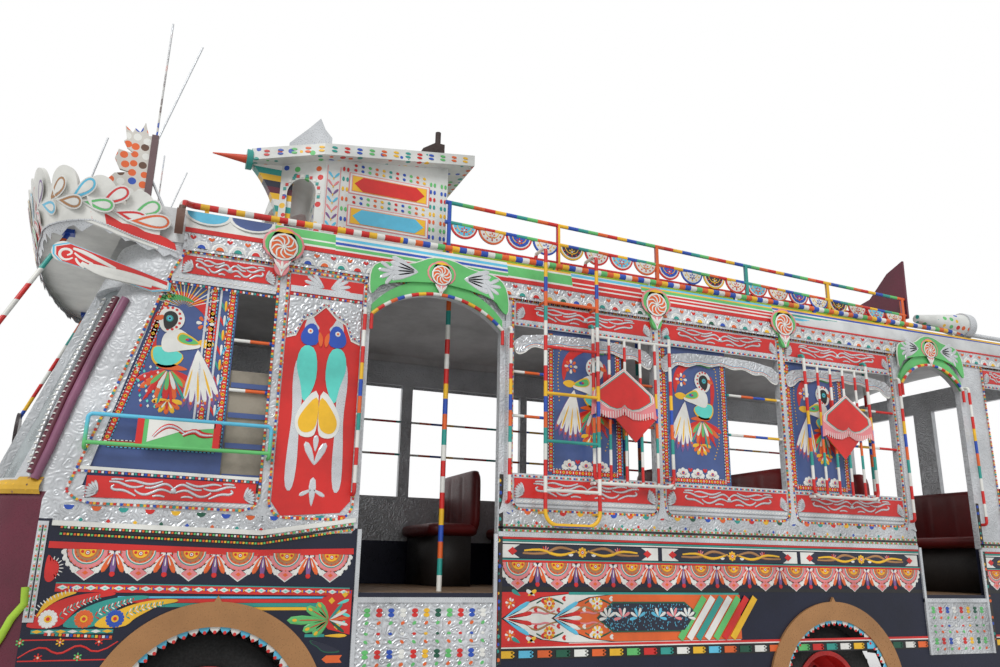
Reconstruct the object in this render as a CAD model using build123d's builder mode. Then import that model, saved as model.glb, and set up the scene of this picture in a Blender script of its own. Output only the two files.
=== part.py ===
from build123d import *
import math
import os

# Painted passenger bus on a truck chassis, millimetres.
# +X forward, +Y to the kerb side with the two doorways, +Z up.
# The origin lies on the ground under the middle of the bus.

# Running gear
WHEELBASE = 4340
FRONT_AXLE_X = 2795
REAR_AXLE_X = FRONT_AXLE_X - WHEELBASE
TYRE_R = 462
TYRE_W = 215
RIM_R = 262
RIM_INSET = 22
DISC_T = 14
FLANGE_T = 8
FLANGE_H = 16
FRONT_TRACK_Y = 930
TWIN_OUTER_Y = 1000
TWIN_INNER_Y = 740
KINGPIN_Y = 790
KINGPIN_R = 18
STUB_R = 28
REAR_STUB_R = 45
RUNNING_GAP = 0.05
SEAT_GAP = 0.3

# Chassis
FRAME_Z = 720
FRAME_H = 200
FRAME_Y = 380
FRAME_W = 70
FRAME_T = 10
FRAME_FRONT_X = 3950
FRAME_REAR_X = -4080
SPRING_W = 65
SPRING_T = 70
BEAM_Z = 395
BEAM_H = 80

# Body shell
HALF_W = 1200
WALL = 50
SKIRT_Z = 560
FLOOR_Z = 1140
FLOOR_T = 60
BEARER_H = 80
SILL_Z = 1890
HEAD_Z = 2910
WALL_TOP_Z = 3120
ROOF_EDGE_Z = 3230
ROOF_MID_Z = 3330
ROOF_T = 55
ROOF_LIP = 12
REAR_X = -4175
CORNER_X = 3725
CORNER_MID = (3965, 1075)
SHOULDER = (4065, 820)
NOSE_X = 4150
LEDGE_Z = 1600
LEDGE_T = 35
RAKE = 0.336
ARCH_R = 500
ARCH_BAND = 128
ARCH_PROUD = 18
ARCH_PEAK = 66

# Doorways and window bays of the kerb side, front x then rear x
FRONT_DOOR = (2045, 1145)
REAR_DOOR = (-2475, -3185)
DOOR_CORNER_Z = 2830
DOOR_CROWN_Z = 3020
BAYS = [(1045, -55), (-125, -1205), (-1275, -2375)]
FRONT_WINDOW_X = 2620
FRONT_SILL_Z = 1680
PILLAR_FOOT_W = 150
PILLAR_TOP_W = 30
REAR_WINDOW = (-3495, -4085)
ROAD_BAYS = [(2000, 1145), (1045, -55), (-125, -1205), (-1275, -2375), (-2475, -3300), (-3400, -4085)]
DRIVER_DOOR = (3240, 2600)
DRIVER_DOOR_Z = (1180, 2860)
DOOR_GAP = 8

# Roof ornaments
RAIL_Z = 3385
RAIL_Y = 1165
RAIL_R = 20
RAIL_X = (3150, -4100)
FENCE_X = (1540, -2755)
FENCE_TOP_Z = (3750, 3635)
FENCE_Y = 1110
TURRET_X = (2640, 1500)
TURRET_HALF_W = 1020
ROD_TOP_Z = 4700
COVE_TOP_Z = 3345
COVE_TOP_Y = (1130, 1180)
COVE_MID = (1208, 3250)

os.makedirs("parts", exist_ok=True)


def save(builder, name):
    """Label a finished piece and write it to its own file."""
    builder.part.label = name
    export_step(builder.part, f"parts/{name}.step")


def raked(z):
    """How far the raked windscreen line has moved back at height z."""
    return -RAKE * (z - LEDGE_Z)


def slant(height, lean):
    """Length of an edge that leans by lean for each unit of its height."""
    return height * math.hypot(1, lean)


def nose_outline(inset=0.0, shift=0.0, tail=0.0):
    """Plan outline of the rounded front, with a straight tail behind the corners."""
    side = HALF_W - inset
    mid = (CORNER_MID[0] + shift - 0.7 * inset, CORNER_MID[1] - 0.7 * inset)
    shoulder = (SHOULDER[0] + shift - inset, SHOULDER[1] - 0.3 * inset)
    nose = NOSE_X + shift - inset
    corner = CORNER_X + shift
    with BuildSketch() as outline:
        with BuildLine():
            ThreePointArc((corner, side), mid, shoulder)
            ThreePointArc(shoulder, (nose, 0), (shoulder[0], -shoulder[1]))
            ThreePointArc((shoulder[0], -shoulder[1]), (mid[0], -mid[1]), (corner, -side))
            if tail > 0:
                Polyline((corner, -side), (corner - tail, -side), (corner - tail, side), (corner, side))
            else:
                Line((corner, -side), (corner, side))
        make_face()
    return outline.sketch


def tube(points, radius, bends=None):
    """Round bar along a path with rounded corners."""
    with BuildPart() as bar:
        with BuildLine() as path:
            if len(points) == 2:
                Line(*points)
            else:
                FilletPolyline(*points, radius=bends)
        with BuildSketch(path.line ^ 0):
            Circle(radius)
        sweep()
    return bar.part


# Ladder frame: two channels with the web outside, cross members between
CROSS_X = [FRAME_FRONT_X - 60, 2300, 1200, 0, -700, -2350, -3200, FRAME_REAR_X + 40]
with BuildPart() as chassis_frame:
    with BuildSketch(Plane.YZ.offset(FRAME_REAR_X)):
        for side in (1, -1):
            with Locations((side * FRAME_Y, FRAME_Z + FRAME_H / 2)):
                Rectangle(FRAME_W, FRAME_H)
            with Locations((side * (FRAME_Y - FRAME_T), FRAME_Z + FRAME_H / 2)):
                Rectangle(FRAME_W, FRAME_H - 2 * FRAME_T, mode=Mode.SUBTRACT)
    extrude(amount=FRAME_FRONT_X - FRAME_REAR_X)
    for x in CROSS_X:
        with Locations((x, 0, FRAME_Z + FRAME_H - FRAME_T - 40)):
            Box(70, 2 * FRAME_Y + FRAME_W - 2 * FRAME_T, 80)
save(chassis_frame, "chassis_frame")

# Front axle: a dropped beam with an eye for the kingpin at each end
with BuildPart() as front_axle:
    with BuildSketch(Plane.YZ.offset(FRONT_AXLE_X - 35)):
        with BuildLine():
            Polyline(
                (-KINGPIN_Y, TYRE_R + 30),
                (-KINGPIN_Y, TYRE_R - 50),
                (-FRAME_Y - 160, BEAM_Z),
                (FRAME_Y + 160, BEAM_Z),
                (KINGPIN_Y, TYRE_R - 50),
                (KINGPIN_Y, TYRE_R + 30),
                (FRAME_Y + 110, BEAM_Z + BEAM_H),
                (-FRAME_Y - 110, BEAM_Z + BEAM_H),
                close=True,
            )
        make_face()
    extrude(amount=70)
    for side in (1, -1):
        with Locations((FRONT_AXLE_X, side * KINGPIN_Y, TYRE_R)):
            Cylinder(42, 110)
            Cylinder(KINGPIN_R + RUNNING_GAP, 110, mode=Mode.SUBTRACT)
save(front_axle, "front_axle")

# Steering knuckles: fork round the axle eye, kingpin and stub
FORK_GAP = 6
for side, name in ((1, "knuckle_left"), (-1, "knuckle_right")):
    with BuildPart() as knuckle:
        with Locations((FRONT_AXLE_X, side * KINGPIN_Y, TYRE_R)):
            Cylinder(KINGPIN_R, 180)
        for z in (TYRE_R + 55 + FORK_GAP + 12, TYRE_R - 55 - FORK_GAP - 12):
            with Locations((FRONT_AXLE_X, side * KINGPIN_Y, z)):
                Cylinder(40, 24)
            with Locations((FRONT_AXLE_X, side * (KINGPIN_Y + 32), z)):
                Box(70, 64, 24)
        with Locations((FRONT_AXLE_X, side * (KINGPIN_Y + 56), TYRE_R)):
            Box(70, 16, 2 * (55 + FORK_GAP + 24))
        with Locations(Plane((FRONT_AXLE_X, side * (KINGPIN_Y + 60), TYRE_R), z_dir=(0, side, 0))):
            Cylinder(STUB_R, 130, align=(Align.CENTER, Align.CENTER, Align.MIN))
    save(knuckle, name)

# Rear axle: banjo housing with a tube to each wheel
REAR_TUBE_R = 60
TWIN_MID_Y = (TWIN_OUTER_Y + TWIN_INNER_Y) / 2
with BuildPart() as rear_axle:
    with Locations((REAR_AXLE_X, 0, TYRE_R)):
        Sphere(185)
        with Locations(Rotation(90, 0, 0)):
            Cylinder(REAR_TUBE_R, 2 * (TWIN_INNER_Y - 130))
            Cylinder(REAR_STUB_R, 2 * (TWIN_OUTER_Y + 30))
save(rear_axle, "rear_axle")

# Leaf springs under the frame rails: centre x, top of seat, sag, half length
SPRINGS = [
    (FRONT_AXLE_X, BEAM_Z + BEAM_H, 110, 560),
    (REAR_AXLE_X, TYRE_R + REAR_TUBE_R, 80, 640),
]
with BuildPart() as leaf_springs:
    for x, seat_z, sag, half in SPRINGS:
        for side in (1, -1):
            with BuildSketch(Plane.XZ.offset(-side * FRAME_Y - SPRING_W / 2)):
                with BuildLine():
                    a = ThreePointArc((x - half, seat_z + sag), (x, seat_z), (x + half, seat_z + sag))
                    b = Line(a @ 1, (x + half, seat_z + sag + 22))
                    c = ThreePointArc(b @ 1, (x, seat_z + SPRING_T), (x - half, seat_z + sag + 22))
                    Line(c @ 1, a @ 0)
                make_face()
            extrude(amount=SPRING_W)
            for end in (1, -1):
                hanger_low = seat_z + sag + 11
                with Locations((x + end * half, side * FRAME_Y, (hanger_low + FRAME_Z) / 2)):
                    Box(50, SPRING_W, FRAME_Z - hanger_low)
save(leaf_springs, "leaf_springs")


def tyre_ring(y):
    """One tyre with rounded shoulders, its middle plane at y."""
    with BuildPart() as ring:
        with BuildSketch(Plane.XY):
            with BuildLine():
                bead = TYRE_W / 2 - RIM_INSET - 1
                a = Polyline(
                    (RIM_R + 20, -bead), (RIM_R + 1, -bead), (RIM_R + 1, bead), (RIM_R + 20, bead)
                )
                b = ThreePointArc(a @ 1, (RIM_R + 95, TYRE_W / 2), (TYRE_R - 28, TYRE_W / 2 - 14))
                c = ThreePointArc(b @ 1, (TYRE_R - 8, TYRE_W / 2 - 26), (TYRE_R, TYRE_W / 2 - 48))
                d = Line(c @ 1, (TYRE_R, -TYRE_W / 2 + 48))
                e = ThreePointArc(d @ 1, (TYRE_R - 8, -TYRE_W / 2 + 26), (TYRE_R - 28, -TYRE_W / 2 + 14))
                ThreePointArc(e @ 1, (RIM_R + 95, -TYRE_W / 2), a @ 0)
            make_face()
            for groove in (-38, 0, 38):
                with Locations((TYRE_R, groove)):
                    Rectangle(18, 9, mode=Mode.SUBTRACT)
        revolve(axis=Axis.Y)
    return Pos(0, y, 0) * ring.part


def rim_and_disc(y, face, web):
    """Half section of a rim at y and its disc, whose web lies at web."""
    half = TYRE_W / 2 - RIM_INSET
    with BuildSketch() as section:
        with BuildLine():
            Polyline(
                (RIM_R - 16, y - half - FLANGE_T),
                (RIM_R + FLANGE_H, y - half - FLANGE_T),
                (RIM_R + FLANGE_H, y - half),
                (RIM_R, y - half),
                (RIM_R, y + half),
                (RIM_R + FLANGE_H, y + half),
                (RIM_R + FLANGE_H, y + half + FLANGE_T),
                (RIM_R - 16, y + half + FLANGE_T),
                close=True,
            )
        make_face()
        with BuildLine():
            Polyline(
                (RIM_R - 12, y + face * 40),
                (RIM_R - 12, y + face * 26),
                (190, web),
                (HUB_R - 10, web),
                (HUB_R - 10, web + face * DISC_T),
                (196, web + face * DISC_T),
                close=True,
            )
        make_face()
    return section.sketch


def wheel(axle_x, rims, hub, bore_r, bore_end):
    """Wheel body turned from one half section: rims (y, face, web), hub (inner, outer)."""
    with BuildPart() as body:
        with BuildSketch(Plane.XY):
            for rim in rims:
                add(rim_and_disc(*rim))
            with Locations((HUB_R / 2, (hub[0] + hub[1]) / 2)):
                Rectangle(HUB_R, abs(hub[1] - hub[0]))
            with Locations((bore_r / 2, (hub[0] + bore_end) / 2)):
                Rectangle(bore_r, abs(bore_end - hub[0]), mode=Mode.SUBTRACT)
        revolve(axis=Axis.Y)
        with Locations(Location((0, rims[0][2], 0), (90, 0, 0))):
            with PolarLocations(HAND_HOLE_R, 6):
                Cylinder(HAND_HOLE, 500, mode=Mode.SUBTRACT)
    return Pos(axle_x, 0, TYRE_R) * body.part


# Front wheels: single tyre, dished disc and a hub that turns on the stub
HUB_R = 90
HAND_HOLE = 20
HAND_HOLE_R = 158
FRONT_WEB_Y = FRONT_TRACK_Y + 30
FRONT_HUB = (KINGPIN_Y + 72, FRONT_WEB_Y + 34)
FRONT_BORE_END = KINGPIN_Y + 60 + 136
for side, word in ((1, "left"), (-1, "right")):
    with BuildPart() as tyre_front:
        add(Pos(FRONT_AXLE_X, 0, TYRE_R) * tyre_ring(side * FRONT_TRACK_Y))
    save(tyre_front, f"tyre_front_{word}")
    front_rims = [(side * FRONT_TRACK_Y, side, side * FRONT_WEB_Y)]
    front_hub = [side * y for y in FRONT_HUB]
    with BuildPart() as wheel_front:
        add(wheel(FRONT_AXLE_X, front_rims, front_hub, STUB_R + RUNNING_GAP, side * FRONT_BORE_END))
    save(wheel_front, f"wheel_front_{word}")

# Twin rear wheels bolted face to face, each pair one turning body
REAR_HUB = (TWIN_INNER_Y - 110, TWIN_OUTER_Y + 60)
REAR_BORE_END = TWIN_OUTER_Y + 32
for side, word in ((1, "left"), (-1, "right")):
    with BuildPart() as tyres_rear:
        for y in (TWIN_OUTER_Y, TWIN_INNER_Y):
            add(Pos(REAR_AXLE_X, 0, TYRE_R) * tyre_ring(side * y))
    save(tyres_rear, f"tyres_rear_{word}")
    rear_rims = [
        (side * TWIN_OUTER_Y, -side, side * (TWIN_MID_Y + DISC_T)),
        (side * TWIN_INNER_Y, side, side * (TWIN_MID_Y - DISC_T)),
    ]
    rear_hub = [side * y for y in REAR_HUB]
    with BuildPart() as wheels_rear:
        add(wheel(REAR_AXLE_X, rear_rims, rear_hub, REAR_STUB_R + RUNNING_GAP, side * REAR_BORE_END))
    save(wheels_rear, f"wheels_rear_{word}")

# Engine, one plain block between the rails under the floor
ENGINE_X = (FRONT_AXLE_X + 955, FRONT_AXLE_X + 165)
with BuildPart() as engine:
    with Locations(((ENGINE_X[0] + ENGINE_X[1]) / 2, 0, 850)):
        Box(ENGINE_X[0] - ENGINE_X[1], 2 * (FRAME_Y - FRAME_W / 2) - 2 * SEAT_GAP, 400)
save(engine, "engine")

# Propeller shaft from the engine block down to the rear axle
SHAFT_R = 42
SHAFT_FRONT = (ENGINE_X[1] - 2.5, 0, 700)
SHAFT_REAR = (REAR_AXLE_X + 187, 0, TYRE_R + 40)
with BuildPart() as propeller_shaft:
    with BuildLine():
        shaft_line = Line(SHAFT_FRONT, SHAFT_REAR)
    with BuildSketch(shaft_line ^ 0):
        Circle(SHAFT_R)
    sweep(path=shaft_line)
save(propeller_shaft, "propeller_shaft")

# Fuel tank beside the right rail on two brackets
TANK_X = (1180, 380)
TANK_Y = (-560, -1040)
with BuildPart() as fuel_tank:
    with Locations(((TANK_X[0] + TANK_X[1]) / 2, (TANK_Y[0] + TANK_Y[1]) / 2, 800)):
        Box(TANK_X[0] - TANK_X[1], TANK_Y[0] - TANK_Y[1], 340)
    fillet(fuel_tank.edges().filter_by(Axis.X), 70)
    rail_face = -(FRAME_Y + FRAME_W / 2) - SEAT_GAP
    for x in (TANK_X[0] - 150, TANK_X[1] + 150):
        with Locations((x, (rail_face + TANK_Y[0] - 10) / 2, 800)):
            Box(50, rail_face - TANK_Y[0] + 10, 90)
save(fuel_tank, "fuel_tank")

# Exhaust: silencer and pipe hung from the cross members
EXHAUST_Y = -240
EXHAUST_Z = 610
with BuildPart() as exhaust:
    with Locations(Location((0, EXHAUST_Y, EXHAUST_Z), (0, 90, 0))):
        with Locations((0, 0, 1650)):
            Cylinder(78, 620)
    pipe = [
        (ENGINE_X[1] - 10, EXHAUST_Y, EXHAUST_Z),
        (REAR_X + 500, EXHAUST_Y, EXHAUST_Z),
        (REAR_X + 200, EXHAUST_Y, 430),
        (REAR_X - 30, EXHAUST_Y, 430),
    ]
    add(tube(pipe, 28, [120, 120]))
    hanger_top = FRAME_Z + FRAME_H - FRAME_T - 80 - SEAT_GAP
    for x in (CROSS_X[1], CROSS_X[3], CROSS_X[5]):
        with Locations((x, EXHAUST_Y, (EXHAUST_Z + 20 + hanger_top) / 2)):
            Box(30, 8, hanger_top - EXHAUST_Z - 20)
save(exhaust, "exhaust")

# Floor on cross bearers, and the bearers on two runners along the rails
BEARER_LOW = FLOOR_Z - FLOOR_T - BEARER_H
FLOOR_HALF = HALF_W - WALL - SEAT_GAP
BEARER_X = [3500, 2150, 1600, 1000, 400, -200, -800, -2350, -2900, -3500, -4000]
with BuildPart() as floor:
    with Locations(((CORNER_X + REAR_X + WALL) / 2, 0, FLOOR_Z - FLOOR_T / 2)):
        Box(CORNER_X - REAR_X - WALL - 2 * SEAT_GAP, 2 * FLOOR_HALF, FLOOR_T)
    for x in BEARER_X:
        with Locations((x, 0, BEARER_LOW + BEARER_H / 2)):
            if x < ENGINE_X[1]:
                Box(70, 2 * FLOOR_HALF, BEARER_H)
    runner_low = FRAME_Z + FRAME_H
    runner_front = ENGINE_X[1] - 20
    for side in (1, -1):
        with Locations(((runner_front + REAR_X + 100) / 2, side * FRAME_Y, (runner_low + FLOOR_Z - FLOOR_T) / 2)):
            Box(runner_front - REAR_X - 100, FRAME_W, FLOOR_Z - FLOOR_T - runner_low)
save(floor, "floor")


def wheel_openings(radius=ARCH_R):
    """Both wheel openings, open at the bottom edge."""
    with BuildSketch() as openings:
        for x in (FRONT_AXLE_X, REAR_AXLE_X):
            with Locations((x, TYRE_R)):
                Circle(radius)
    return openings.sketch


def window(front, rear, low=SILL_Z, high=HEAD_Z):
    """Rectangle on a wall, given by its four edges."""
    with BuildSketch() as opening:
        with Locations(((front + rear) / 2, (low + high) / 2)):
            Rectangle(front - rear, high - low)
    return opening.sketch


def wall_outline():
    """Side wall with its raked front edge."""
    with BuildSketch() as outline:
        with BuildLine():
            Polyline(
                (REAR_X, SKIRT_Z),
                (CORNER_X, SKIRT_Z),
                (CORNER_X, LEDGE_Z),
                (CORNER_X + raked(WALL_TOP_Z), WALL_TOP_Z),
                (REAR_X, WALL_TOP_Z),
                close=True,
            )
        make_face()
    return outline.sketch


def front_window():
    """First window, whose front edge follows the rake of the windscreen."""
    with BuildSketch() as opening:
        with BuildLine():
            Polyline(
                (FRONT_WINDOW_X, FRONT_SILL_Z),
                (CORNER_X + raked(FRONT_SILL_Z) - PILLAR_FOOT_W, FRONT_SILL_Z),
                (CORNER_X + raked(HEAD_Z) - PILLAR_TOP_W, HEAD_Z),
                (FRONT_WINDOW_X, HEAD_Z),
                close=True,
            )
        make_face()
    return opening.sketch


def doorway(front, rear):
    """Doorway with an arched head."""
    with BuildSketch() as opening:
        with BuildLine():
            ThreePointArc((front, DOOR_CORNER_Z), ((front + rear) / 2, DOOR_CROWN_Z), (rear, DOOR_CORNER_Z))
            Polyline((rear, DOOR_CORNER_Z), (rear, FLOOR_Z), (front, FLOOR_Z), (front, DOOR_CORNER_Z))
        make_face()
    return opening.sketch


def seams(rows):
    """Joints where lower panels, posts and header meet: front x, rear x, height."""
    with BuildSketch() as cuts:
        for front, rear, z in rows:
            with Locations(((front + rear) / 2, z)):
                Rectangle(front - rear + 1, SEAT_GAP)
    return cuts.sketch


def post_tops(openings, z):
    """Seam rows at height z on the posts between neighbouring openings."""
    return [(ahead[1], behind[0], z) for ahead, behind in zip(openings, openings[1:])]


# Kerb side wall with both doorways: lower panels, risers, posts and a header
KERB_SEAMS = [
    (CORNER_X, FRONT_DOOR[0], FRONT_SILL_Z),
    (FRONT_DOOR[1], REAR_DOOR[0], SILL_Z),
    (REAR_DOOR[1], REAR_X, SILL_Z),
    (CORNER_X, FRONT_WINDOW_X, HEAD_Z),
    (FRONT_WINDOW_X, FRONT_DOOR[0], DOOR_CORNER_Z),
    (FRONT_DOOR[1], BAYS[0][0], DOOR_CORNER_Z),
    (BAYS[-1][1], REAR_DOOR[0], DOOR_CORNER_Z),
    (REAR_DOOR[1], REAR_WINDOW[0], DOOR_CORNER_Z),
    (REAR_WINDOW[1], REAR_X, HEAD_Z),
]
with BuildPart() as side_wall_left:
    with BuildSketch(Plane.XZ.offset(-HALF_W)):
        add(wall_outline())
        add(seams(KERB_SEAMS + post_tops(BAYS, HEAD_Z)), mode=Mode.SUBTRACT)
        for x in (*FRONT_DOOR, *REAR_DOOR):
            with Locations((x, (SKIRT_Z + FLOOR_Z) / 2)):
                Rectangle(SEAT_GAP, FLOOR_Z - SKIRT_Z + 1, mode=Mode.SUBTRACT)
        add(wheel_openings(), mode=Mode.SUBTRACT)
        add(front_window(), mode=Mode.SUBTRACT)
        for front, rear in BAYS + [REAR_WINDOW]:
            add(window(front, rear), mode=Mode.SUBTRACT)
        for front, rear in (FRONT_DOOR, REAR_DOOR):
            add(doorway(front, rear), mode=Mode.SUBTRACT)
    extrude(amount=WALL)
save(side_wall_left, "side_wall_left")

# Road side wall with the opening for the driver's door and its hinge pins
HINGE_X = DRIVER_DOOR[0] - DOOR_GAP / 2
HINGE_Y = HALF_W + 16
HINGE_R = 14
HINGE_PIN_R = 7
HINGE_H = 55
HINGE_Z = (1480, 2560)
ROAD_SEAMS = [
    (CORNER_X, DRIVER_DOOR[0], SILL_Z),
    (DRIVER_DOOR[1], REAR_X, SILL_Z),
    (CORNER_X, DRIVER_DOOR[0], HEAD_Z),
    (DRIVER_DOOR[1], ROAD_BAYS[0][0], HEAD_Z),
    (ROAD_BAYS[-1][1], REAR_X, HEAD_Z),
]
with BuildPart() as side_wall_right:
    with BuildSketch(Plane.XZ.offset(HALF_W - WALL)):
        add(wall_outline())
        add(seams(ROAD_SEAMS + post_tops(ROAD_BAYS, HEAD_Z)), mode=Mode.SUBTRACT)
        add(wheel_openings(), mode=Mode.SUBTRACT)
        for front, rear in ROAD_BAYS:
            add(window(front, rear), mode=Mode.SUBTRACT)
        add(window(*DRIVER_DOOR, *DRIVER_DOOR_Z), mode=Mode.SUBTRACT)
    extrude(amount=WALL)
    for z in HINGE_Z:
        with Locations((HINGE_X, -HINGE_Y, z)):
            Cylinder(HINGE_R, HINGE_H, align=(Align.CENTER, Align.CENTER, Align.MAX))
            Cylinder(HINGE_PIN_R, 2 * HINGE_H)
        with Locations((HINGE_X + 30, -HALF_W - 3, z - HINGE_H / 2)):
            Box(60, 6, HINGE_H)
save(side_wall_right, "side_wall_right")

# Driver's door, hinged at its front edge, with a window
DOOR_SKIN_T = 40
with BuildPart() as drivers_door:
    with BuildSketch(Plane.XZ.offset(HALF_W - DOOR_SKIN_T)):
        leaf_x = (DRIVER_DOOR[0] - DOOR_GAP, DRIVER_DOOR[1] + DOOR_GAP)
        leaf_z = (DRIVER_DOOR_Z[0] + DOOR_GAP, DRIVER_DOOR_Z[1] - DOOR_GAP)
        add(window(*leaf_x, *leaf_z))
        add(window(leaf_x[0] - 70, leaf_x[1] + 70, 1980, 2780), mode=Mode.SUBTRACT)
    extrude(amount=DOOR_SKIN_T)
    for z in HINGE_Z:
        with Locations((HINGE_X - 30, -HALF_W - 3, z + SEAT_GAP + HINGE_H / 2)):
            Box(60, 6, HINGE_H)
        with Locations((HINGE_X, -HINGE_Y, z + SEAT_GAP)):
            Cylinder(HINGE_R, HINGE_H, align=(Align.CENTER, Align.CENTER, Align.MIN))
            Cylinder(HINGE_PIN_R + RUNNING_GAP, 3 * HINGE_H, mode=Mode.SUBTRACT)
save(drivers_door, "drivers_door")

# Rear wall with two windows
REAR_PANE_Y = 560
REAR_PANE_W = 900
with BuildPart() as rear_wall:
    with BuildSketch(Plane.YZ.offset(REAR_X)):
        with Locations((0, (SKIRT_Z + WALL_TOP_Z) / 2)):
            Rectangle(2 * (HALF_W - WALL - SEAT_GAP), WALL_TOP_Z - SKIRT_Z)
        for side in (1, -1):
            half = REAR_PANE_W / 2
            add(window(side * REAR_PANE_Y + half, side * REAR_PANE_Y - half), mode=Mode.SUBTRACT)
    extrude(amount=WALL)
save(rear_wall, "rear_wall")

# Rounded front: lower cowl, ledge and the raked windscreen frame
GRILLE_HALF_W = 430
GRILLE_Z = (760, 1260)
LAMP_Y = 690
LAMP_Z = 960
LAMP_R = 105
PANE_Z = (LEDGE_Z + 110, 2830)
PANE_HALF_W = 360
PILLAR_W = 190
with BuildPart() as front_wall:
    # Cowl up to the ledge
    with BuildSketch(Plane.XY.offset(SKIRT_Z)):
        add(nose_outline(shift=SEAT_GAP))
        add(nose_outline(inset=WALL, shift=SEAT_GAP, tail=100), mode=Mode.SUBTRACT)
    extrude(amount=LEDGE_Z - LEDGE_T - SKIRT_Z)
    with BuildSketch(Plane.XY.offset(LEDGE_Z - LEDGE_T)):
        add(nose_outline(shift=SEAT_GAP))
    extrude(amount=LEDGE_T)
    # Windscreen frame, the same plan pushed back as it rises
    with BuildSketch(Plane.XY.offset(LEDGE_Z)):
        add(nose_outline(shift=SEAT_GAP))
        add(nose_outline(inset=WALL, shift=SEAT_GAP, tail=100), mode=Mode.SUBTRACT)
    extrude(amount=slant(WALL_TOP_Z - LEDGE_Z, RAKE), dir=(-RAKE, 0, 1))
    # Radiator opening, lamp openings and the panes of the windscreen
    with Locations((NOSE_X, 0, sum(GRILLE_Z) / 2)):
        Box(300, 2 * GRILLE_HALF_W, GRILLE_Z[1] - GRILLE_Z[0], mode=Mode.SUBTRACT)
    for side in (1, -1):
        with Locations(Location((SHOULDER[0], side * LAMP_Y, LAMP_Z), (0, 90, 0))):
            Cylinder(LAMP_R + SEAT_GAP, 300, mode=Mode.SUBTRACT)
    with BuildSketch(Plane.XY.offset(PANE_Z[0])) as panes:
        back_shift = raked(PANE_Z[0])
        for side in (1, -1):
            with Locations((NOSE_X + back_shift, side * (PANE_HALF_W + 30))):
                Rectangle(400, 2 * PANE_HALF_W)
            with BuildLine():
                Polyline(
                    (SHOULDER[0] + back_shift + 60, side * (SHOULDER[1] + 30)),
                    (SHOULDER[0] + back_shift + 60, side * (HALF_W + 90)),
                    (CORNER_X + back_shift + PILLAR_W, side * (HALF_W + 90)),
                    (CORNER_X + back_shift + PILLAR_W, side * (HALF_W - 220)),
                    (SHOULDER[0] + back_shift - 120, side * (SHOULDER[1] + 30)),
                    close=True,
                )
            make_face()
    extrude(amount=slant(PANE_Z[1] - PANE_Z[0], RAKE), dir=(-RAKE, 0, 1), mode=Mode.SUBTRACT)
    # Upright grille bars
    for y in range(-GRILLE_HALF_W + 60, GRILLE_HALF_W, 80):
        with Locations((NOSE_X - 40, y, sum(GRILLE_Z) / 2)):
            Box(28, 18, GRILLE_Z[1] - GRILLE_Z[0] + 40)
save(front_wall, "front_wall")

# Glass of the windscreen, one bent sheet behind the frame
GLASS_T = 6
with BuildPart() as windscreen:
    glass_out = WALL + SEAT_GAP
    with BuildSketch(Plane.XY.offset(PANE_Z[0] - 20)):
        add(nose_outline(inset=glass_out, shift=raked(PANE_Z[0] - 20)))
        add(nose_outline(inset=glass_out + GLASS_T, shift=raked(PANE_Z[0] - 20), tail=100), mode=Mode.SUBTRACT)
    extrude(amount=slant(PANE_Z[1] - PANE_Z[0] + 40, RAKE), dir=(-RAKE, 0, 1))
save(windscreen, "windscreen")

ROOF_ARC_Y = HALF_W + ROOF_LIP - 30
ROOF_ARC_R = (ROOF_ARC_Y**2 + (ROOF_MID_Z - ROOF_EDGE_Z) ** 2) / (2 * (ROOF_MID_Z - ROOF_EDGE_Z))


def roof_z(y):
    """Height of the roof's outer face at the distance y from the middle."""
    return ROOF_MID_Z - ROOF_ARC_R + math.sqrt(ROOF_ARC_R**2 - y**2)


# Roof: arched sheet with raised coves along both edges, rounded at the front like the nose
with BuildPart() as roof:
    with BuildSketch(Plane.YZ.offset(REAR_X)):
        edge = HALF_W + ROOF_LIP
        low = WALL_TOP_Z + SEAT_GAP
        inner, outer = COVE_TOP_Y
        with BuildLine():
            a = ThreePointArc((-edge, low), (-COVE_MID[0], COVE_MID[1]), (-outer, COVE_TOP_Z))
            b = Polyline(a @ 1, (-inner - 10, COVE_TOP_Z), (-inner, roof_z(inner)))
            c = ThreePointArc(b @ 1, (0, ROOF_MID_Z), (inner, roof_z(inner)))
            d = Polyline(c @ 1, (inner + 10, COVE_TOP_Z), (outer, COVE_TOP_Z))
            e = ThreePointArc(d @ 1, COVE_MID, (edge, low))
            f = Polyline(e @ 1, (HALF_W - WALL - 20, low), (HALF_W - WALL - 60, low + 50))
            g = ThreePointArc(f @ 1, (0, ROOF_MID_Z - ROOF_T), (-HALF_W + WALL + 60, low + 50))
            Polyline(g @ 1, (-HALF_W + WALL + 20, low), a @ 0)
        make_face()
    extrude(amount=NOSE_X + raked(WALL_TOP_Z) + 20 - REAR_X)
    with BuildSketch(Plane.XY.offset(WALL_TOP_Z - 10)):
        add(nose_outline(inset=-ROOF_LIP, shift=raked(WALL_TOP_Z) + 8, tail=8000))
    extrude(amount=400, mode=Mode.INTERSECT)
save(roof, "roof")

CEILING_EDGE = (HALF_W - WALL - 60, WALL_TOP_Z + SEAT_GAP + 50)
CEILING_MID_Z = ROOF_MID_Z - ROOF_T
CEILING_SAG = CEILING_MID_Z - CEILING_EDGE[1]
CEILING_R = (CEILING_EDGE[0] ** 2 + CEILING_SAG**2) / (2 * CEILING_SAG)


def ceiling_z(y):
    """Height of the roof's inner face at the distance y from the middle."""
    return CEILING_MID_Z - CEILING_R + math.sqrt(CEILING_R**2 - y**2)


def spread(start, end, step):
    """Evenly spaced places from start to end, about one step apart."""
    count = max(1, round(abs(end - start) / step))
    return [start + (end - start) * i / count for i in range(count + 1)]


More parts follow.
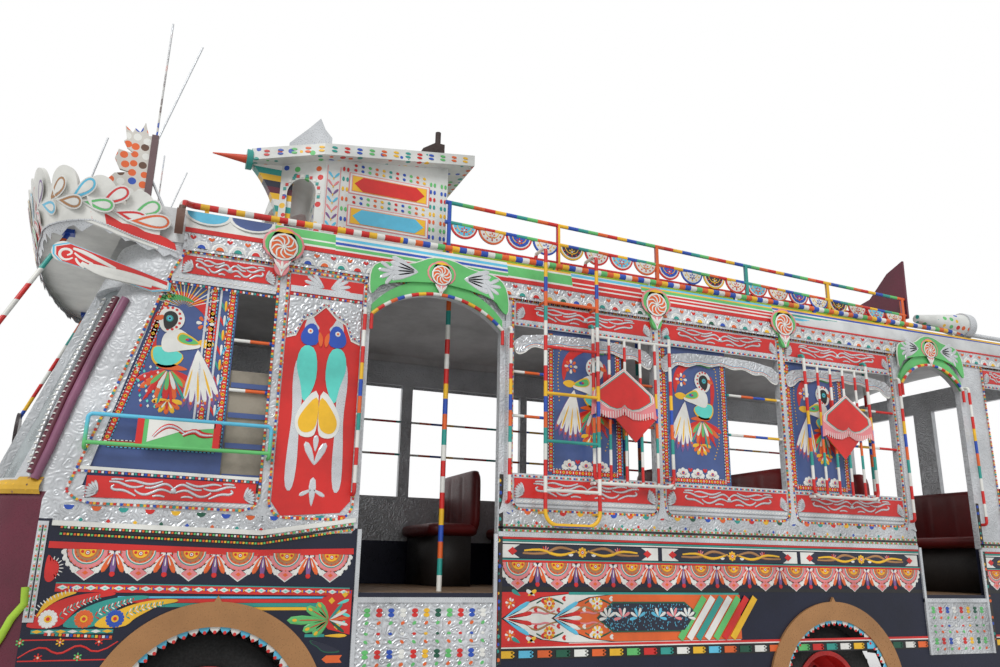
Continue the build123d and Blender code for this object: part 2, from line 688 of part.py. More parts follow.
# Wheel arch mouldings with a pointed crest
with BuildPart() as arch_mouldings:
    for side in (1, -1):
        face_y = HALF_W + SEAT_GAP if side > 0 else -HALF_W - SEAT_GAP - ARCH_PROUD
        for axle_x in (FRONT_AXLE_X, REAR_AXLE_X):
            with BuildSketch(Plane.XZ.offset(-face_y - ARCH_PROUD)):
                with Locations((axle_x, TYRE_R)):
                    Circle(ARCH_R + ARCH_BAND)
                    with Locations((0, ARCH_R + ARCH_BAND - ARCH_PEAK / 2)):
                        RegularPolygon(ARCH_PEAK, 3, rotation=90)
                    Circle(ARCH_R - 2, mode=Mode.SUBTRACT)
                with Locations((axle_x, SKIRT_Z - 500)):
                    Rectangle(3 * ARCH_R, 1000, mode=Mode.SUBTRACT)
            extrude(amount=ARCH_PROUD)
save(arch_mouldings, "arch_mouldings")

# Bumpers: a channel bar at each end on two brackets from the frame
BUMPER_Z = 545
BUMPER_H = 150
BUMPER_T = 60
BUMPER_FRONT_X = NOSE_X + 85
BUMPER_REAR_X = REAR_X - 60
TOW_HOLE_R = 16
TOW_DEPTH = 70
TOW_X = NOSE_X - 60
with BuildPart() as bumpers:
    ends = [
        (BUMPER_FRONT_X - BUMPER_T / 2, FRAME_FRONT_X - 30, 1),
        (BUMPER_REAR_X + 20, FRAME_REAR_X + 30, -1),
    ]
    for bar_x, rail_x, way in ends:
        bar_t = BUMPER_T if way > 0 else 40
        with Locations((bar_x, 0, BUMPER_Z)):
            Box(bar_t, 2 * HALF_W - 160, BUMPER_H)
        for side in (1, -1):
            low = SKIRT_Z - 80
            with Locations(((bar_x + rail_x) / 2, side * FRAME_Y, low + 35)):
                Box(abs(bar_x - rail_x), 70, TOW_DEPTH)
            if way > 0:
                with Locations((TOW_X, side * FRAME_Y, low + 35)):
                    Cylinder(TOW_HOLE_R, TOW_DEPTH, mode=Mode.SUBTRACT)
            with Locations((rail_x, side * FRAME_Y, (low + FRAME_Z - SEAT_GAP) / 2)):
                Box(60, 50, FRAME_Z - SEAT_GAP - low)
    fillet(bumpers.edges().filter_by(Axis.Z).group_by(Axis.X)[-1], 24)
save(bumpers, "bumpers")

# Lamps: headlamps in the cowl, tail lamps on the rear wall
TAIL_LAMP_Y = 960
TAIL_LAMP_Z = 900
with BuildPart() as lamps:
    for side in (1, -1):
        with Locations(Location((SHOULDER[0] - 60, side * LAMP_Y, LAMP_Z), (0, 90, 0))):
            Cylinder(LAMP_R, 130, align=(Align.CENTER, Align.CENTER, Align.MIN))
            with Locations((0, 0, 130)):
                Cone(LAMP_R, 60, 22, align=(Align.CENTER, Align.CENTER, Align.MIN))
        with Locations(Location((REAR_X - SEAT_GAP, side * TAIL_LAMP_Y, TAIL_LAMP_Z), (0, -90, 0))):
            Cylinder(55, 34, align=(Align.CENTER, Align.CENTER, Align.MIN))
save(lamps, "lamps")

# Mirrors, each on a pole that leans forward from under the crown
MIRROR_HEAD = (3840, 940)
MIRROR_FOOT = (4195, 1060, 2330)
MIRROR_SIZE = (85, 145)
MIRROR_T = 26
TRAY_Z = (3188, 3208)
with BuildPart() as mirrors:
    for side in (1, -1):
        head = (MIRROR_HEAD[0], side * MIRROR_HEAD[1], TRAY_Z[0] - SEAT_GAP - 20)
        foot = (MIRROR_FOOT[0], side * MIRROR_FOOT[1], MIRROR_FOOT[2])
        add(tube([head, foot], 14))
        with Locations((head[0], head[1], TRAY_Z[0] - SEAT_GAP - 12)):
            Box(70, 70, 24)
        glass_mid = (foot[0] - MIRROR_T / 2, foot[1], foot[2] - 100)
        with BuildSketch(Plane(glass_mid, x_dir=(0, 1, 0), z_dir=(1, 0, 0))):
            Ellipse(MIRROR_SIZE[0], MIRROR_SIZE[1])
        extrude(amount=MIRROR_T)
save(mirrors, "mirrors")

# Crown: a tray ahead of the roof, a leaning band round it, petals and two brow boards
CROWN_BASE_Z = 3000
CROWN_TOP_Z = 3560
CROWN_SHIFT = -150
CROWN_LEAN = 0.3
CROWN_T = 24
CROWN_FOOT = [(3335, 3055), (3560, 3110), (3760, 3180), (4400, 3180)]
CROWN_RIM = [(4400, 3470), (3900, 3400), (3335, 3240)]
PETALS = 17
RIM_INSET_X = 150
PETAL_SIZE = (84, 120)
BROW = [(3240, 2812), (3330, 2793), (3830, 2905), (3876, 2975), (3800, 3020), (3240, 2858)]
BROW_T = 20


def crown_shift(z):
    """Shift of the crown's plan outline at height z."""
    return CROWN_SHIFT + CROWN_LEAN * (z - CROWN_BASE_Z)


def crown_rim_z(x):
    """Height of the band's upper edge at x."""
    front, mid, rear = CROWN_RIM
    low, high = (rear, mid) if x < mid[0] else (mid, front)
    return low[1] + (x - low[0]) / (high[0] - low[0]) * (high[1] - low[1])


with BuildPart() as crown:
    with BuildSketch(Plane.XY.offset(CROWN_BASE_Z)):
        add(nose_outline(inset=-CROWN_T, shift=CROWN_SHIFT, tail=400))
        add(nose_outline(shift=CROWN_SHIFT, tail=600), mode=Mode.SUBTRACT)
    extrude(amount=slant(CROWN_TOP_Z - CROWN_BASE_Z, CROWN_LEAN), dir=(CROWN_LEAN, 0, 1))
    with BuildSketch(Plane.XZ.offset(-HALF_W - 100)):
        with BuildLine():
            Polyline(*CROWN_FOOT, *CROWN_RIM, close=True)
        make_face()
    extrude(amount=2 * HALF_W + 200, mode=Mode.INTERSECT)
    with BuildSketch(Plane.XY.offset(TRAY_Z[0])):
        add(nose_outline(inset=-CROWN_T / 2, shift=crown_shift(TRAY_Z[0]), tail=400))
        with Locations((CROWN_FOOT[0][0] - 500, 0)):
            Rectangle(1000, 3 * HALF_W, mode=Mode.SUBTRACT)
        add(
            nose_outline(inset=-ROOF_LIP - SEAT_GAP, shift=raked(WALL_TOP_Z) + 8, tail=400),
            mode=Mode.SUBTRACT,
        )
    extrude(amount=TRAY_Z[1] - TRAY_Z[0])
    # Petals that lean with the band and stand up from its upper edge
    with BuildLine() as rim:
        rim_shift = crown_shift(CROWN_RIM[1][1])
        front_side = HALF_W + CROWN_T / 2
        mid = (CORNER_MID[0] + rim_shift, CORNER_MID[1] + CROWN_T / 2)
        shoulder = (SHOULDER[0] + rim_shift + CROWN_T / 2, SHOULDER[1])
        Line((CROWN_FOOT[0][0] + RIM_INSET_X, front_side), (CORNER_X + rim_shift, front_side))
        ThreePointArc((CORNER_X + rim_shift, front_side), mid, shoulder)
        ThreePointArc(shoulder, (NOSE_X + rim_shift + CROWN_T / 2, 0), (shoulder[0], -shoulder[1]))
        ThreePointArc((shoulder[0], -shoulder[1]), (mid[0], -mid[1]), (CORNER_X + rim_shift, -front_side))
        Line((CORNER_X + rim_shift, -front_side), (CROWN_FOOT[0][0] + RIM_INSET_X, -front_side))
    rim_wire = rim.wire()
    for i in range(PETALS):
        spot = rim_wire @ (i / (PETALS - 1))
        along = rim_wire % (i / (PETALS - 1))
        z = crown_rim_z(spot.X)
        up = Vector(CROWN_LEAN, 0, 1).normalized()
        facing = Vector(along.X, along.Y, 0).cross(up).normalized()
        middle = Vector(spot.X + CROWN_LEAN * (z - CROWN_RIM[1][1]), spot.Y, z)
        with BuildSketch(Plane(middle - facing * CROWN_T / 2, x_dir=facing.cross(up) * -1, z_dir=facing)):
            Ellipse(*PETAL_SIZE)
        extrude(amount=CROWN_T)
    for side in (1, -1):
        face_y = HALF_W + SEAT_GAP + BROW_T if side > 0 else -HALF_W - SEAT_GAP
        with BuildSketch(Plane.XZ.offset(-face_y)):
            with BuildLine():
                lower = Polyline(*BROW[:3])
                nose = ThreePointArc(BROW[2], BROW[3], BROW[4])
                Polyline(BROW[4], BROW[5], BROW[0])
            make_face()
        extrude(amount=BROW_T)
save(crown, "crown")

# Wings of ragged boards on the front roof corners, with rods and a stay each
WING_Y = 1000
WING_POST_X = 3450
WING_TOP_Z = 3876
WING_T = 20
WING_PLATES = [
    (0, [(3440, 3345), (3528, 3362), (3596, 3388), (3652, 3430), (3682, 3519), (3640, 3580), (3540, 3606), (3440, 3600)]),
    (-50, [(3440, 3345), (3560, 3372), (3640, 3440), (3610, 3520), (3440, 3560)]),
    (0, [(3440, 3590), (3520, 3596), (3614, 3612), (3650, 3680), (3636, 3742), (3560, 3730), (3440, 3722)]),
    (-50, [(3440, 3600), (3590, 3630), (3600, 3700), (3440, 3700)]),
    (0, [(3440, 3712), (3510, 3702), (3590, 3762), (3614, 3804), (3560, 3850), (3440, 3872)]),
    (0, [(3470, 3840), (3506, 3950), (3530, 3880), (3560, 3902), (3572, 3868), (3618, 3908), (3600, 3820)]),
]
ROD_R = 6
FRONT_ROD = [(3880, 700, TRAY_Z[1] + SEAT_GAP + 1.2), (3733, 700, 3950)]
with BuildPart() as crown_wings:
    for side in (1, -1):
        foot_z = roof_z(WING_Y - 70) + SEAT_GAP
        with Locations((WING_POST_X - 10, side * (WING_Y - 25), (foot_z + WING_TOP_Z) / 2)):
            Box(40, 90, WING_TOP_Z - foot_z)
        for shift, points in WING_PLATES:
            y = side * (WING_Y + shift) + WING_T / 2
            with BuildSketch(Plane.XZ.offset(-y)):
                with BuildLine():
                    Polyline(*points, close=True)
                make_face()
            extrude(amount=WING_T)
        rod_foot = (WING_POST_X - 15, side * WING_Y, WING_TOP_Z - 60)
        for x, z in ((WING_POST_X - 19, ROD_TOP_Z), (WING_POST_X - 217, ROD_TOP_Z - 120)):
            add(tube([rod_foot, (x, side * WING_Y, z)], ROD_R))
        add(tube([(x, side * y, z) for x, y, z in FRONT_ROD], ROD_R))
        stay_foot = (3262, side * (WING_Y - 20), roof_z(WING_Y - 34) + SEAT_GAP + 4)
        add(tube([(WING_POST_X - 10, side * (WING_Y - 20), 3610), stay_foot], 8))
save(crown_wings, "crown_wings")

# Roof turret: house with chamfered front corners, arched openings, flared jambs and rising eaves
CHAMFER = (2370, 2640, 880)
ALCOVE_HALF_W = 700
ALCOVE_DEPTH = 340
EAVE_X = (2850, 1330)
EAVE_Z = (3872, 4072)
EAVE_T = 82
EAVE_PLAN = [(1330, 1105), (2400, 1105), (2850, 940), (2850, 810)]
FLARE_Y = (880, 800)
BEAK = (884, 3896)


def eave_z(x):
    """Height of the underside of the eaves, which rise to the rear."""
    return EAVE_Z[0] + (EAVE_X[0] - x) / (EAVE_X[0] - EAVE_X[1]) * (EAVE_Z[1] - EAVE_Z[0])


def side_profile(points):
    """Closed outline in the length and height of the bus, drawn at y = 0."""
    with BuildSketch() as outline:
        with BuildLine():
            Polyline(*points, close=True)
        make_face()
    return outline.sketch


with BuildPart() as turret_house:
    with BuildSketch(Plane.YZ.offset(TURRET_X[1])):
        half = TURRET_HALF_W
        low = (half, roof_z(half) + SEAT_GAP)
        with BuildLine():
            a = ThreePointArc((-low[0], low[1]), (0, ROOF_MID_Z + SEAT_GAP), low)
            Polyline(low, (half, EAVE_Z[1]), (-half, EAVE_Z[1]), a @ 0)
        make_face()
    extrude(amount=TURRET_X[0] - TURRET_X[1])
    with BuildSketch(Plane.XZ.offset(-half - 10)):
        house = [(x, eave_z(x) + 10) for x in TURRET_X]
        add(side_profile([(TURRET_X[0], ROOF_EDGE_Z - 50), *house, (TURRET_X[1], ROOF_EDGE_Z - 50)]))
    extrude(amount=2 * half + 20, mode=Mode.INTERSECT)
    with BuildSketch(Plane.XY.offset(ROOF_EDGE_Z - 100)):
        plan = [(TURRET_X[1], half), (CHAMFER[0], half), (CHAMFER[1], CHAMFER[2])]
        with BuildLine():
            Polyline(*plan, *[(x, -y) for x, y in reversed(plan)], close=True)
        make_face()
    extrude(amount=1000, mode=Mode.INTERSECT)
    # Alcove in the front, and an arched opening through each chamfered corner
    with BuildSketch(Plane.YZ.offset(TURRET_X[0] + 10)):
        with Locations((0, 3345)):
            Rectangle(2 * ALCOVE_HALF_W, 200, align=(Align.CENTER, Align.MIN))
        with Locations((0, 3545)):
            Ellipse(ALCOVE_HALF_W, 270)
    extrude(amount=-ALCOVE_DEPTH, mode=Mode.SUBTRACT)
    with BuildSketch(Plane.XZ.offset(-half - 10)):
        with Locations((2508, 3330)):
            Rectangle(176, 360, align=(Align.CENTER, Align.MIN))
        with Locations((2508, 3690)):
            Ellipse(88, 110)
    extrude(amount=2 * half + 20, mode=Mode.SUBTRACT)
with BuildPart() as roof_turret:
    add(turret_house.part)
    # Eaves, narrower to the front and hollowed between the two front tips
    with BuildPart() as eaves:
        with BuildSketch(Plane.XZ.offset(-EAVE_PLAN[0][1])):
            under = [(x, eave_z(x)) for x in EAVE_X]
            add(side_profile(under + [(x, z + EAVE_T) for x, z in reversed(under)]))
        extrude(amount=2 * EAVE_PLAN[0][1])
        with BuildSketch(Plane.XY.offset(EAVE_Z[0] - 50)):
            with BuildLine():
                edge_line = Polyline(*EAVE_PLAN)
                ThreePointArc(EAVE_PLAN[-1], (2480, 0), (EAVE_PLAN[-1][0], -EAVE_PLAN[-1][1]))
                Polyline(*[(x, -y) for x, y in reversed(EAVE_PLAN)], EAVE_PLAN[0])
            make_face()
        extrude(amount=500, mode=Mode.INTERSECT)
    for side in (1, -1):
        # Flared jamb with a beak at its tip
        with BuildSketch(Plane.XZ.offset(-FLARE_Y[0] if side > 0 else FLARE_Y[1])):
            with BuildLine():
                a = Line((2560, 3400), (2628, 3400))
                b = ThreePointArc(a @ 1, (2690, 3660), (2838, 3880))
                Polyline(b @ 1, (2838, 3920), (2560, 3920), a @ 0)
            make_face()
        extrude(amount=FLARE_Y[0] - FLARE_Y[1])
        with Locations(Location((EAVE_X[0] - 12, side * BEAK[0], BEAK[1]), (0, 90, 0))):
            Cylinder(68, 38, align=(Align.CENTER, Align.CENTER, Align.MIN))
            with Locations((0, 0, 38)):
                Cone(30, 4, 215, align=(Align.CENTER, Align.CENTER, Align.MIN))
        # Beam, chimney with its pipe, and a fin crest on the eaves
        tops = [(2300, 70), (1790, 96), (1790, -20), (2300, -20)]
        chimney = [(1700, 60), (1610, 110), (1540, 100), (1540, -20), (1700, -20)]
        crest = [(2620, 30), (2500, 150), (2427, 232), (2390, 150), (2340, 90), (2340, -20), (2620, -20)]
        for points, y, thick in ((tops, 920, 40), (chimney, 1040, 90), (crest, 1010, 16)):
            base = [(x, eave_z(x) + EAVE_T + z) for x, z in points]
            with BuildSketch(Plane.XZ.offset(-side * y - (0 if side > 0 else thick))):
                add(side_profile(base))
            extrude(amount=thick)
        with Locations((1580, side * 1000, eave_z(1580) + EAVE_T + 140)):
            Cylinder(20, 140)
    add(eaves.part)
save(roof_turret, "roof_turret")

# Rails above both coves, each with a horn at the front bend and a horn-shaped pod at the rear
RAIL_PUCK = (3236, 1298, 3222)
PUCK_R = 76
POD_X = (-2850, -3380)
POD_R = (36, 106, 118)
POD_Z = COVE_TOP_Z + SEAT_GAP + POD_R[2] + 1
with BuildPart() as roof_rails:
    for side in (1, -1):
        bend = [
            (RAIL_X[1], side * RAIL_Y, RAIL_Z),
            (RAIL_PUCK[0] - 60, side * RAIL_Y, RAIL_Z),
            (RAIL_PUCK[0] - 4, side * RAIL_PUCK[1], RAIL_PUCK[2] + 120),
            (RAIL_PUCK[0] - 4, side * RAIL_PUCK[1], RAIL_PUCK[2]),
        ]
        add(tube(bend, RAIL_R, [60, 60]))
        with Locations(Location((RAIL_PUCK[0], side * RAIL_PUCK[1], RAIL_PUCK[2]), (0, 90, 0))):
            Cylinder(PUCK_R, 46)
        for x in spread(RAIL_X[0] - 60, RAIL_X[1] + 60, 800):
            with Locations((x, side * (RAIL_Y - 6), (COVE_TOP_Z + SEAT_GAP + RAIL_Z) / 2)):
                Box(24, 20, RAIL_Z - COVE_TOP_Z - SEAT_GAP)
        with Locations(Location((POD_X[0], side * (RAIL_Y - 30), POD_Z), (0, -90, 0))):
            Cone(*POD_R[:2], POD_X[0] - POD_X[1], align=(Align.CENTER, Align.CENTER, Align.MIN))
            with Locations((0, 0, POD_X[0] - POD_X[1])):
                Cylinder(POD_R[2], 80, align=(Align.CENTER, Align.CENTER, Align.MIN))
save(roof_rails, "roof_rails")


def fence_top(x):
    """Height of the fence's upper tube, which falls to the rear."""
    share = (FENCE_X[0] - x) / (FENCE_X[0] - FENCE_X[1])
    return FENCE_TOP_Z[0] + share * (FENCE_TOP_Z[1] - FENCE_TOP_Z[0])


# Roof fence: two tubes, posts, petal plates, a toe board and a horned end board
FENCE_DROP = 150
PETAL_STEP = 210
TOE_Z = 3440
END_BOARD = [(1130, 3460), (1140, 3990), (960, 3925), (740, 3745), (420, 3690), (0, 3675)]
with BuildPart() as roof_fence:
    for side in (1, -1):
        for drop in (0, FENCE_DROP):
            ends = [(x, side * FENCE_Y, fence_top(x) - drop) for x in FENCE_X]
            add(tube(ends, 14))
        foot_z = roof_z(FENCE_Y - 12) + SEAT_GAP
        for x in spread(FENCE_X[0] - 30, FENCE_X[1] + 30, 850):
            with Locations((x, side * FENCE_Y, (foot_z + fence_top(x)) / 2)):
                Box(24, 24, fence_top(x) - foot_z)
        for x in spread(FENCE_X[0] - 140, FENCE_X[1] + 140, PETAL_STEP):
            with BuildSketch(Plane.XZ.offset(-side * FENCE_Y - 3)):
                with Locations((x, fence_top(x) - FENCE_DROP)):
                    Circle(PETAL_STEP / 2 - 2)
                    with Locations((0, PETAL_STEP / 2)):
                        Rectangle(PETAL_STEP, PETAL_STEP, mode=Mode.SUBTRACT)
            extrude(amount=6)
        toe_y = side * (FENCE_Y - 12 - 7)
        toe_low = roof_z(FENCE_Y - 28) + SEAT_GAP
        with Locations((sum(FENCE_X) / 2, toe_y, (toe_low + TOE_Z) / 2)):
            Box(FENCE_X[0] - FENCE_X[1], 16, TOE_Z - toe_low)
        with Locations(Location((sum(FENCE_X) / 2, toe_y, TOE_Z), (0, 90, 0))):
            Cylinder(13, FENCE_X[0] - FENCE_X[1])
    with BuildSketch(Plane.YZ.offset(FENCE_X[1] - 20)):
        with BuildLine():
            Polyline(*END_BOARD, *[(-y, z) for y, z in reversed(END_BOARD[:-1])], close=True)
        make_face()
    extrude(amount=21)
save(roof_fence, "roof_fence")

# Ladder: two bars that hook over the rail and meet in a bend at the foot
LADDER_X = (855, 455)
LADDER_Y = HALF_W + 100
LADDER_Z = (1560, RAIL_Z + 75)
with BuildPart() as roof_ladder:
    front_x, rear_x = LADDER_X
    bow = [
        (front_x, RAIL_Y - 38, LADDER_Z[1] - 55),
        (front_x, RAIL_Y - 20, LADDER_Z[1]),
        (front_x, LADDER_Y, LADDER_Z[1]),
        (front_x, LADDER_Y, LADDER_Z[0]),
        (rear_x, LADDER_Y, LADDER_Z[0]),
        (rear_x, LADDER_Y, LADDER_Z[1]),
        (rear_x, RAIL_Y - 20, LADDER_Z[1]),
        (rear_x, RAIL_Y - 38, LADDER_Z[1] - 55),
    ]
    add(tube(bow, 13, [20, 40, 90, 90, 40, 20]))
    for z in (1780, 2100, 2420, 2740, 3060):
        with Locations(Location(((front_x + rear_x) / 2, LADDER_Y, z), (0, 90, 0))):
            Cylinder(11, front_x - rear_x)
    for x in LADDER_X:
        for z in (1640, WALL_TOP_Z - 60):
            with Locations(Location((x, (HALF_W + SEAT_GAP + LADDER_Y) / 2, z), (90, 0, 0))):
                Cylinder(9, LADDER_Y - HALF_W - SEAT_GAP)
save(roof_ladder, "roof_ladder")

# Window guards: bent loops with upright bars and a lotus plaque
GUARDS = [(465, -165), (-1420, -2060)]
GUARD_Y = HALF_W + 55
GUARD_Z = (SILL_Z - 40, HEAD_Z + 40)
GUARD_BAR_R = 10
GUARD_PLATE_X = (3310, 2890)
with BuildPart() as window_guards:
    for front_x, rear_x in GUARDS:
        loop = [
            (front_x, HALF_W + SEAT_GAP, GUARD_Z[1]),
            (front_x, GUARD_Y, GUARD_Z[1]),
            (front_x, GUARD_Y, GUARD_Z[0]),
            (rear_x, GUARD_Y, GUARD_Z[0]),
            (rear_x, GUARD_Y, GUARD_Z[1]),
            (rear_x, HALF_W + SEAT_GAP, GUARD_Z[1]),
        ]
        add(tube(loop, GUARD_BAR_R + 2, [30, 60, 60, 30]))
        with Locations(Location(((front_x + rear_x) / 2, GUARD_Y, GUARD_Z[1] - 80), (0, 90, 0))):
            Cylinder(GUARD_BAR_R, front_x - rear_x)
        bar_x = spread(front_x, rear_x, 126)[1:-1]
        for x in bar_x:
            with Locations((x, GUARD_Y, (GUARD_Z[0] + GUARD_Z[1] - 80) / 2)):
                Cylinder(GUARD_BAR_R, GUARD_Z[1] - 80 - GUARD_Z[0])
        with BuildSketch(Plane.XZ.offset(-GUARD_Y - GUARD_BAR_R)):
            with Locations(((front_x + rear_x) / 2, 2330)):
                RegularPolygon(190, 4)
        extrude(amount=-8)
        for x in (front_x, rear_x):
            with Locations(Location((x, (HALF_W + SEAT_GAP + GUARD_Y) / 2, GUARD_Z[0] - 2), (90, 0, 0))):
                Cylinder(GUARD_BAR_R, GUARD_Y - HALF_W - SEAT_GAP)
    # Guard rail of the first window, in front of its sill
    rail_x = (FRONT_WINDOW_X - 20, CORNER_X + raked(1900) - 60)
    sill_loop = [
        (rail_x[0], HALF_W + SEAT_GAP, 1880),
        (rail_x[0], GUARD_Y, 1880),
        (rail_x[0], GUARD_Y, 2060),
        (rail_x[1], GUARD_Y, 2060),
        (rail_x[1], GUARD_Y, 1880),
        (rail_x[1], HALF_W + SEAT_GAP, 1880),
    ]
    add(tube(sill_loop, 11, [25, 25, 25, 25]))
    with Locations(Location(((rail_x[0] + rail_x[1]) / 2, GUARD_Y, 1905), (0, 90, 0))):
        Cylinder(11, rail_x[1] - rail_x[0])
    with BuildSketch(Plane.XZ.offset(-GUARD_Y - 4)):
        add(window(*GUARD_PLATE_X, 1905, 2060))
    extrude(amount=8)
save(window_guards, "window_guards")

# Crests on the kerb side: arched door canopies and round medallions
CREST_T = 26
MEDALLION_X = (2625, -80, -1265)
MEDALLION_Z = 3180
with BuildPart() as side_crests:
    for front_x, rear_x in (FRONT_DOOR, REAR_DOOR):
        mid_x = (front_x + rear_x) / 2
        with BuildSketch(Plane.XZ.offset(-HALF_W - SEAT_GAP - CREST_T)):
            with BuildLine():
                low = ThreePointArc((front_x, DOOR_CORNER_Z), (mid_x, DOOR_CROWN_Z), (rear_x, DOOR_CORNER_Z))
                up = Line(low @ 1, (rear_x, DOOR_CORNER_Z + 70))
                top = ThreePointArc(up @ 1, (mid_x, DOOR_CROWN_Z + 95), (front_x, DOOR_CORNER_Z + 70))
                Line(top @ 1, low @ 0)
            make_face()
        extrude(amount=CREST_T)
    for x in MEDALLION_X:
        with BuildSketch(Plane.XZ.offset(-HALF_W - ROOF_LIP - SEAT_GAP - CREST_T)):
            with Locations((x, MEDALLION_Z)):
                Circle(100)
                with Locations((0, -125)):
                    Ellipse(45, 60)
        extrude(amount=CREST_T)
save(side_crests, "side_crests")

# Painted boards in the kerb side windows, and a raised shutter beside the first
BOARD_T = 14
BOARD_Y = HALF_W - 15
BOARDS = [(790, 200), (-125 - SEAT_GAP, -710), (-1275 - SEAT_GAP, -1860)]
FRONT_GAP_W = 235
SHUTTER_TOP_Z = 2390
SHUTTER_RIBS = 4
with BuildPart() as window_panels:
    for front_x, rear_x in BOARDS:
        with BuildSketch(Plane.XZ.offset(-BOARD_Y)):
            add(window(front_x, rear_x, SILL_Z + SEAT_GAP, HEAD_Z - SEAT_GAP))
        extrude(amount=BOARD_T)
    with BuildSketch(Plane.XZ.offset(-BOARD_Y)):
        add(front_window())
        offset(amount=-SEAT_GAP, kind=Kind.INTERSECTION)
        with Locations((FRONT_WINDOW_X + FRONT_GAP_W / 2, (SILL_Z + HEAD_Z) / 2)):
            Rectangle(FRONT_GAP_W, 2 * (HEAD_Z - SILL_Z), mode=Mode.SUBTRACT)
    extrude(amount=BOARD_T)
    with BuildSketch(Plane.XZ.offset(-BOARD_Y + BOARD_T)):
        shutter_x = (FRONT_WINDOW_X + FRONT_GAP_W - SEAT_GAP, FRONT_WINDOW_X + SEAT_GAP)
        add(window(*shutter_x, FRONT_SILL_Z + SEAT_GAP, SHUTTER_TOP_Z))
    extrude(amount=BOARD_T)
    for i in range(SHUTTER_RIBS):
        rib_z = FRONT_SILL_Z + (i + 0.5) * (SHUTTER_TOP_Z - FRONT_SILL_Z) / SHUTTER_RIBS
        with Locations((sum(shutter_x) / 2, BOARD_Y - BOARD_T + 5, rib_z)):
            Box(shutter_x[0] - shutter_x[1] - 20, 10, 30)
save(window_panels, "window_panels")

# Bars across the open parts of the windows
BAR_ROWS = (2270, 2570)
BAR_R = 10
KERB_GAPS = [
    (FRONT_WINDOW_X + FRONT_GAP_W - SEAT_GAP, FRONT_WINDOW_X),
    (BAYS[0][0], BOARDS[0][0]),
    (BOARDS[0][1], BAYS[0][1]),
    (BOARDS[1][1], BAYS[1][1]),
    (BOARDS[2][1], BAYS[2][1]),
]
with BuildPart() as window_bars:
    for gaps, y in ((KERB_GAPS, HALF_W - BAR_R - 2), (ROAD_BAYS, 25 - HALF_W)):
        for front_x, rear_x in gaps:
            for z in BAR_ROWS:
                with Locations(Location(((front_x + rear_x) / 2, y, z), (0, 90, 0))):
                    Cylinder(BAR_R, front_x - rear_x - 2 * SEAT_GAP)
save(window_bars, "window_bars")


def bench(x, y, width):
    """One bench seat facing forward: cushion, back and a plinth."""
    with BuildPart() as seat:
        with Locations((x, y, FLOOR_Z + SEAT_GAP + 200)):
            Box(300, width - 60, 400)
        with Locations((x, y, FLOOR_Z + SEAT_GAP + 440)):
            Box(430, width, 110)
        with Locations((x - 190, y, FLOOR_Z + SEAT_GAP + 680)):
            Box(90, width, 500)
        fillet(seat.edges().filter_by(Axis.Y).group_by(Axis.Z)[-1], 30)
    return seat.part


# Passenger benches: x of each row, then the side they stand on
SEAT_ROWS = [
    (900, -1),
    (100, -1),
    (-700, -1),
    (-1500, -1),
    (-2300, -1),
    (-3100, -1),
    (500, 1),
    (-300, 1),
    (-1100, 1),
    (-1900, 1),
]
SEAT_W = 860
SEAT_Y = HALF_W - WALL - SEAT_W / 2 - 20
with BuildPart() as passenger_seats:
    for x, side in SEAT_ROWS:
        add(bench(x, side * SEAT_Y, SEAT_W))
    add(bench(REAR_X + WALL + 245, 0, 2 * (HALF_W - WALL - 30)))
save(passenger_seats, "passenger_seats")

# Driver's seat behind the wheel on the road side
DRIVER_Y = -560
with BuildPart() as driver_seat:
    add(bench(2700, DRIVER_Y, 520))
save(driver_seat, "driver_seat")

# Dashboard under the windscreen with the steering column
DASH_Z = 1640
with BuildPart() as dashboard:
    with Locations((CORNER_X - 130, 0, (FLOOR_Z + SEAT_GAP + LEDGE_Z - 60) / 2)):
        Box(250, 2 * (HALF_W - WALL) - 20, LEDGE_Z - 60 - FLOOR_Z - SEAT_GAP)
    column = [(CORNER_X - 200, DRIVER_Y, 1480), (CORNER_X - 470, DRIVER_Y, 1840)]
    add(tube(column, 24))
save(dashboard, "dashboard")

# Steering wheel: rim, hub and three spokes across the column
WHEEL_DIR = (-270, 0, 360)
with BuildPart() as steering_wheel:
    hub_len = math.hypot(270, 360)
    wheel_plane = Plane(
        (CORNER_X - 470 - 270 / hub_len * SEAT_GAP, DRIVER_Y, 1840 + 360 / hub_len * SEAT_GAP), z_dir=WHEEL_DIR
    )
    with Locations(wheel_plane):
        Cylinder(34, 30, align=(Align.CENTER, Align.CENTER, Align.MIN))
        with Locations((0, 0, 15)):
            Torus(225, 14)
            with PolarLocations(112, 3):
                Box(225, 20, 8)
save(steering_wheel, "steering_wheel")

# Grab poles by the doorways and along the aisle, and handrails outside beside both doorways
HANDRAIL_X = (FRONT_DOOR[0] + 46, FRONT_DOOR[1] - 58, REAR_DOOR[0] + 50, REAR_DOOR[1] - 50)
HANDRAIL_Y = (HALF_W + SEAT_GAP, HALF_W + 50)
HANDRAIL_Z = (1700, 2860)
POLES = [(1420, 900), (1950, 300), (-2560, 760), (-600, 130), (-600, -130)]
with BuildPart() as grab_poles:
    for x, y in POLES:
        top = ceiling_z(abs(y) + 17) - SEAT_GAP
        with Locations((x, y, (FLOOR_Z + SEAT_GAP + top) / 2)):
            Cylinder(17, top - FLOOR_Z - SEAT_GAP)
    for x in HANDRAIL_X:
        handrail = [(x, y, z) for z, rows in zip(HANDRAIL_Z, ((0, 1), (1, 0))) for y in [HANDRAIL_Y[i] for i in rows]]
        add(tube(handrail, 12, [25, 25]))
save(grab_poles, "grab_poles")
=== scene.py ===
import math
import random

import bmesh
import bpy
from bpy.props import FloatProperty, FloatVectorProperty, IntProperty, PointerProperty
from mathutils import Matrix, Vector


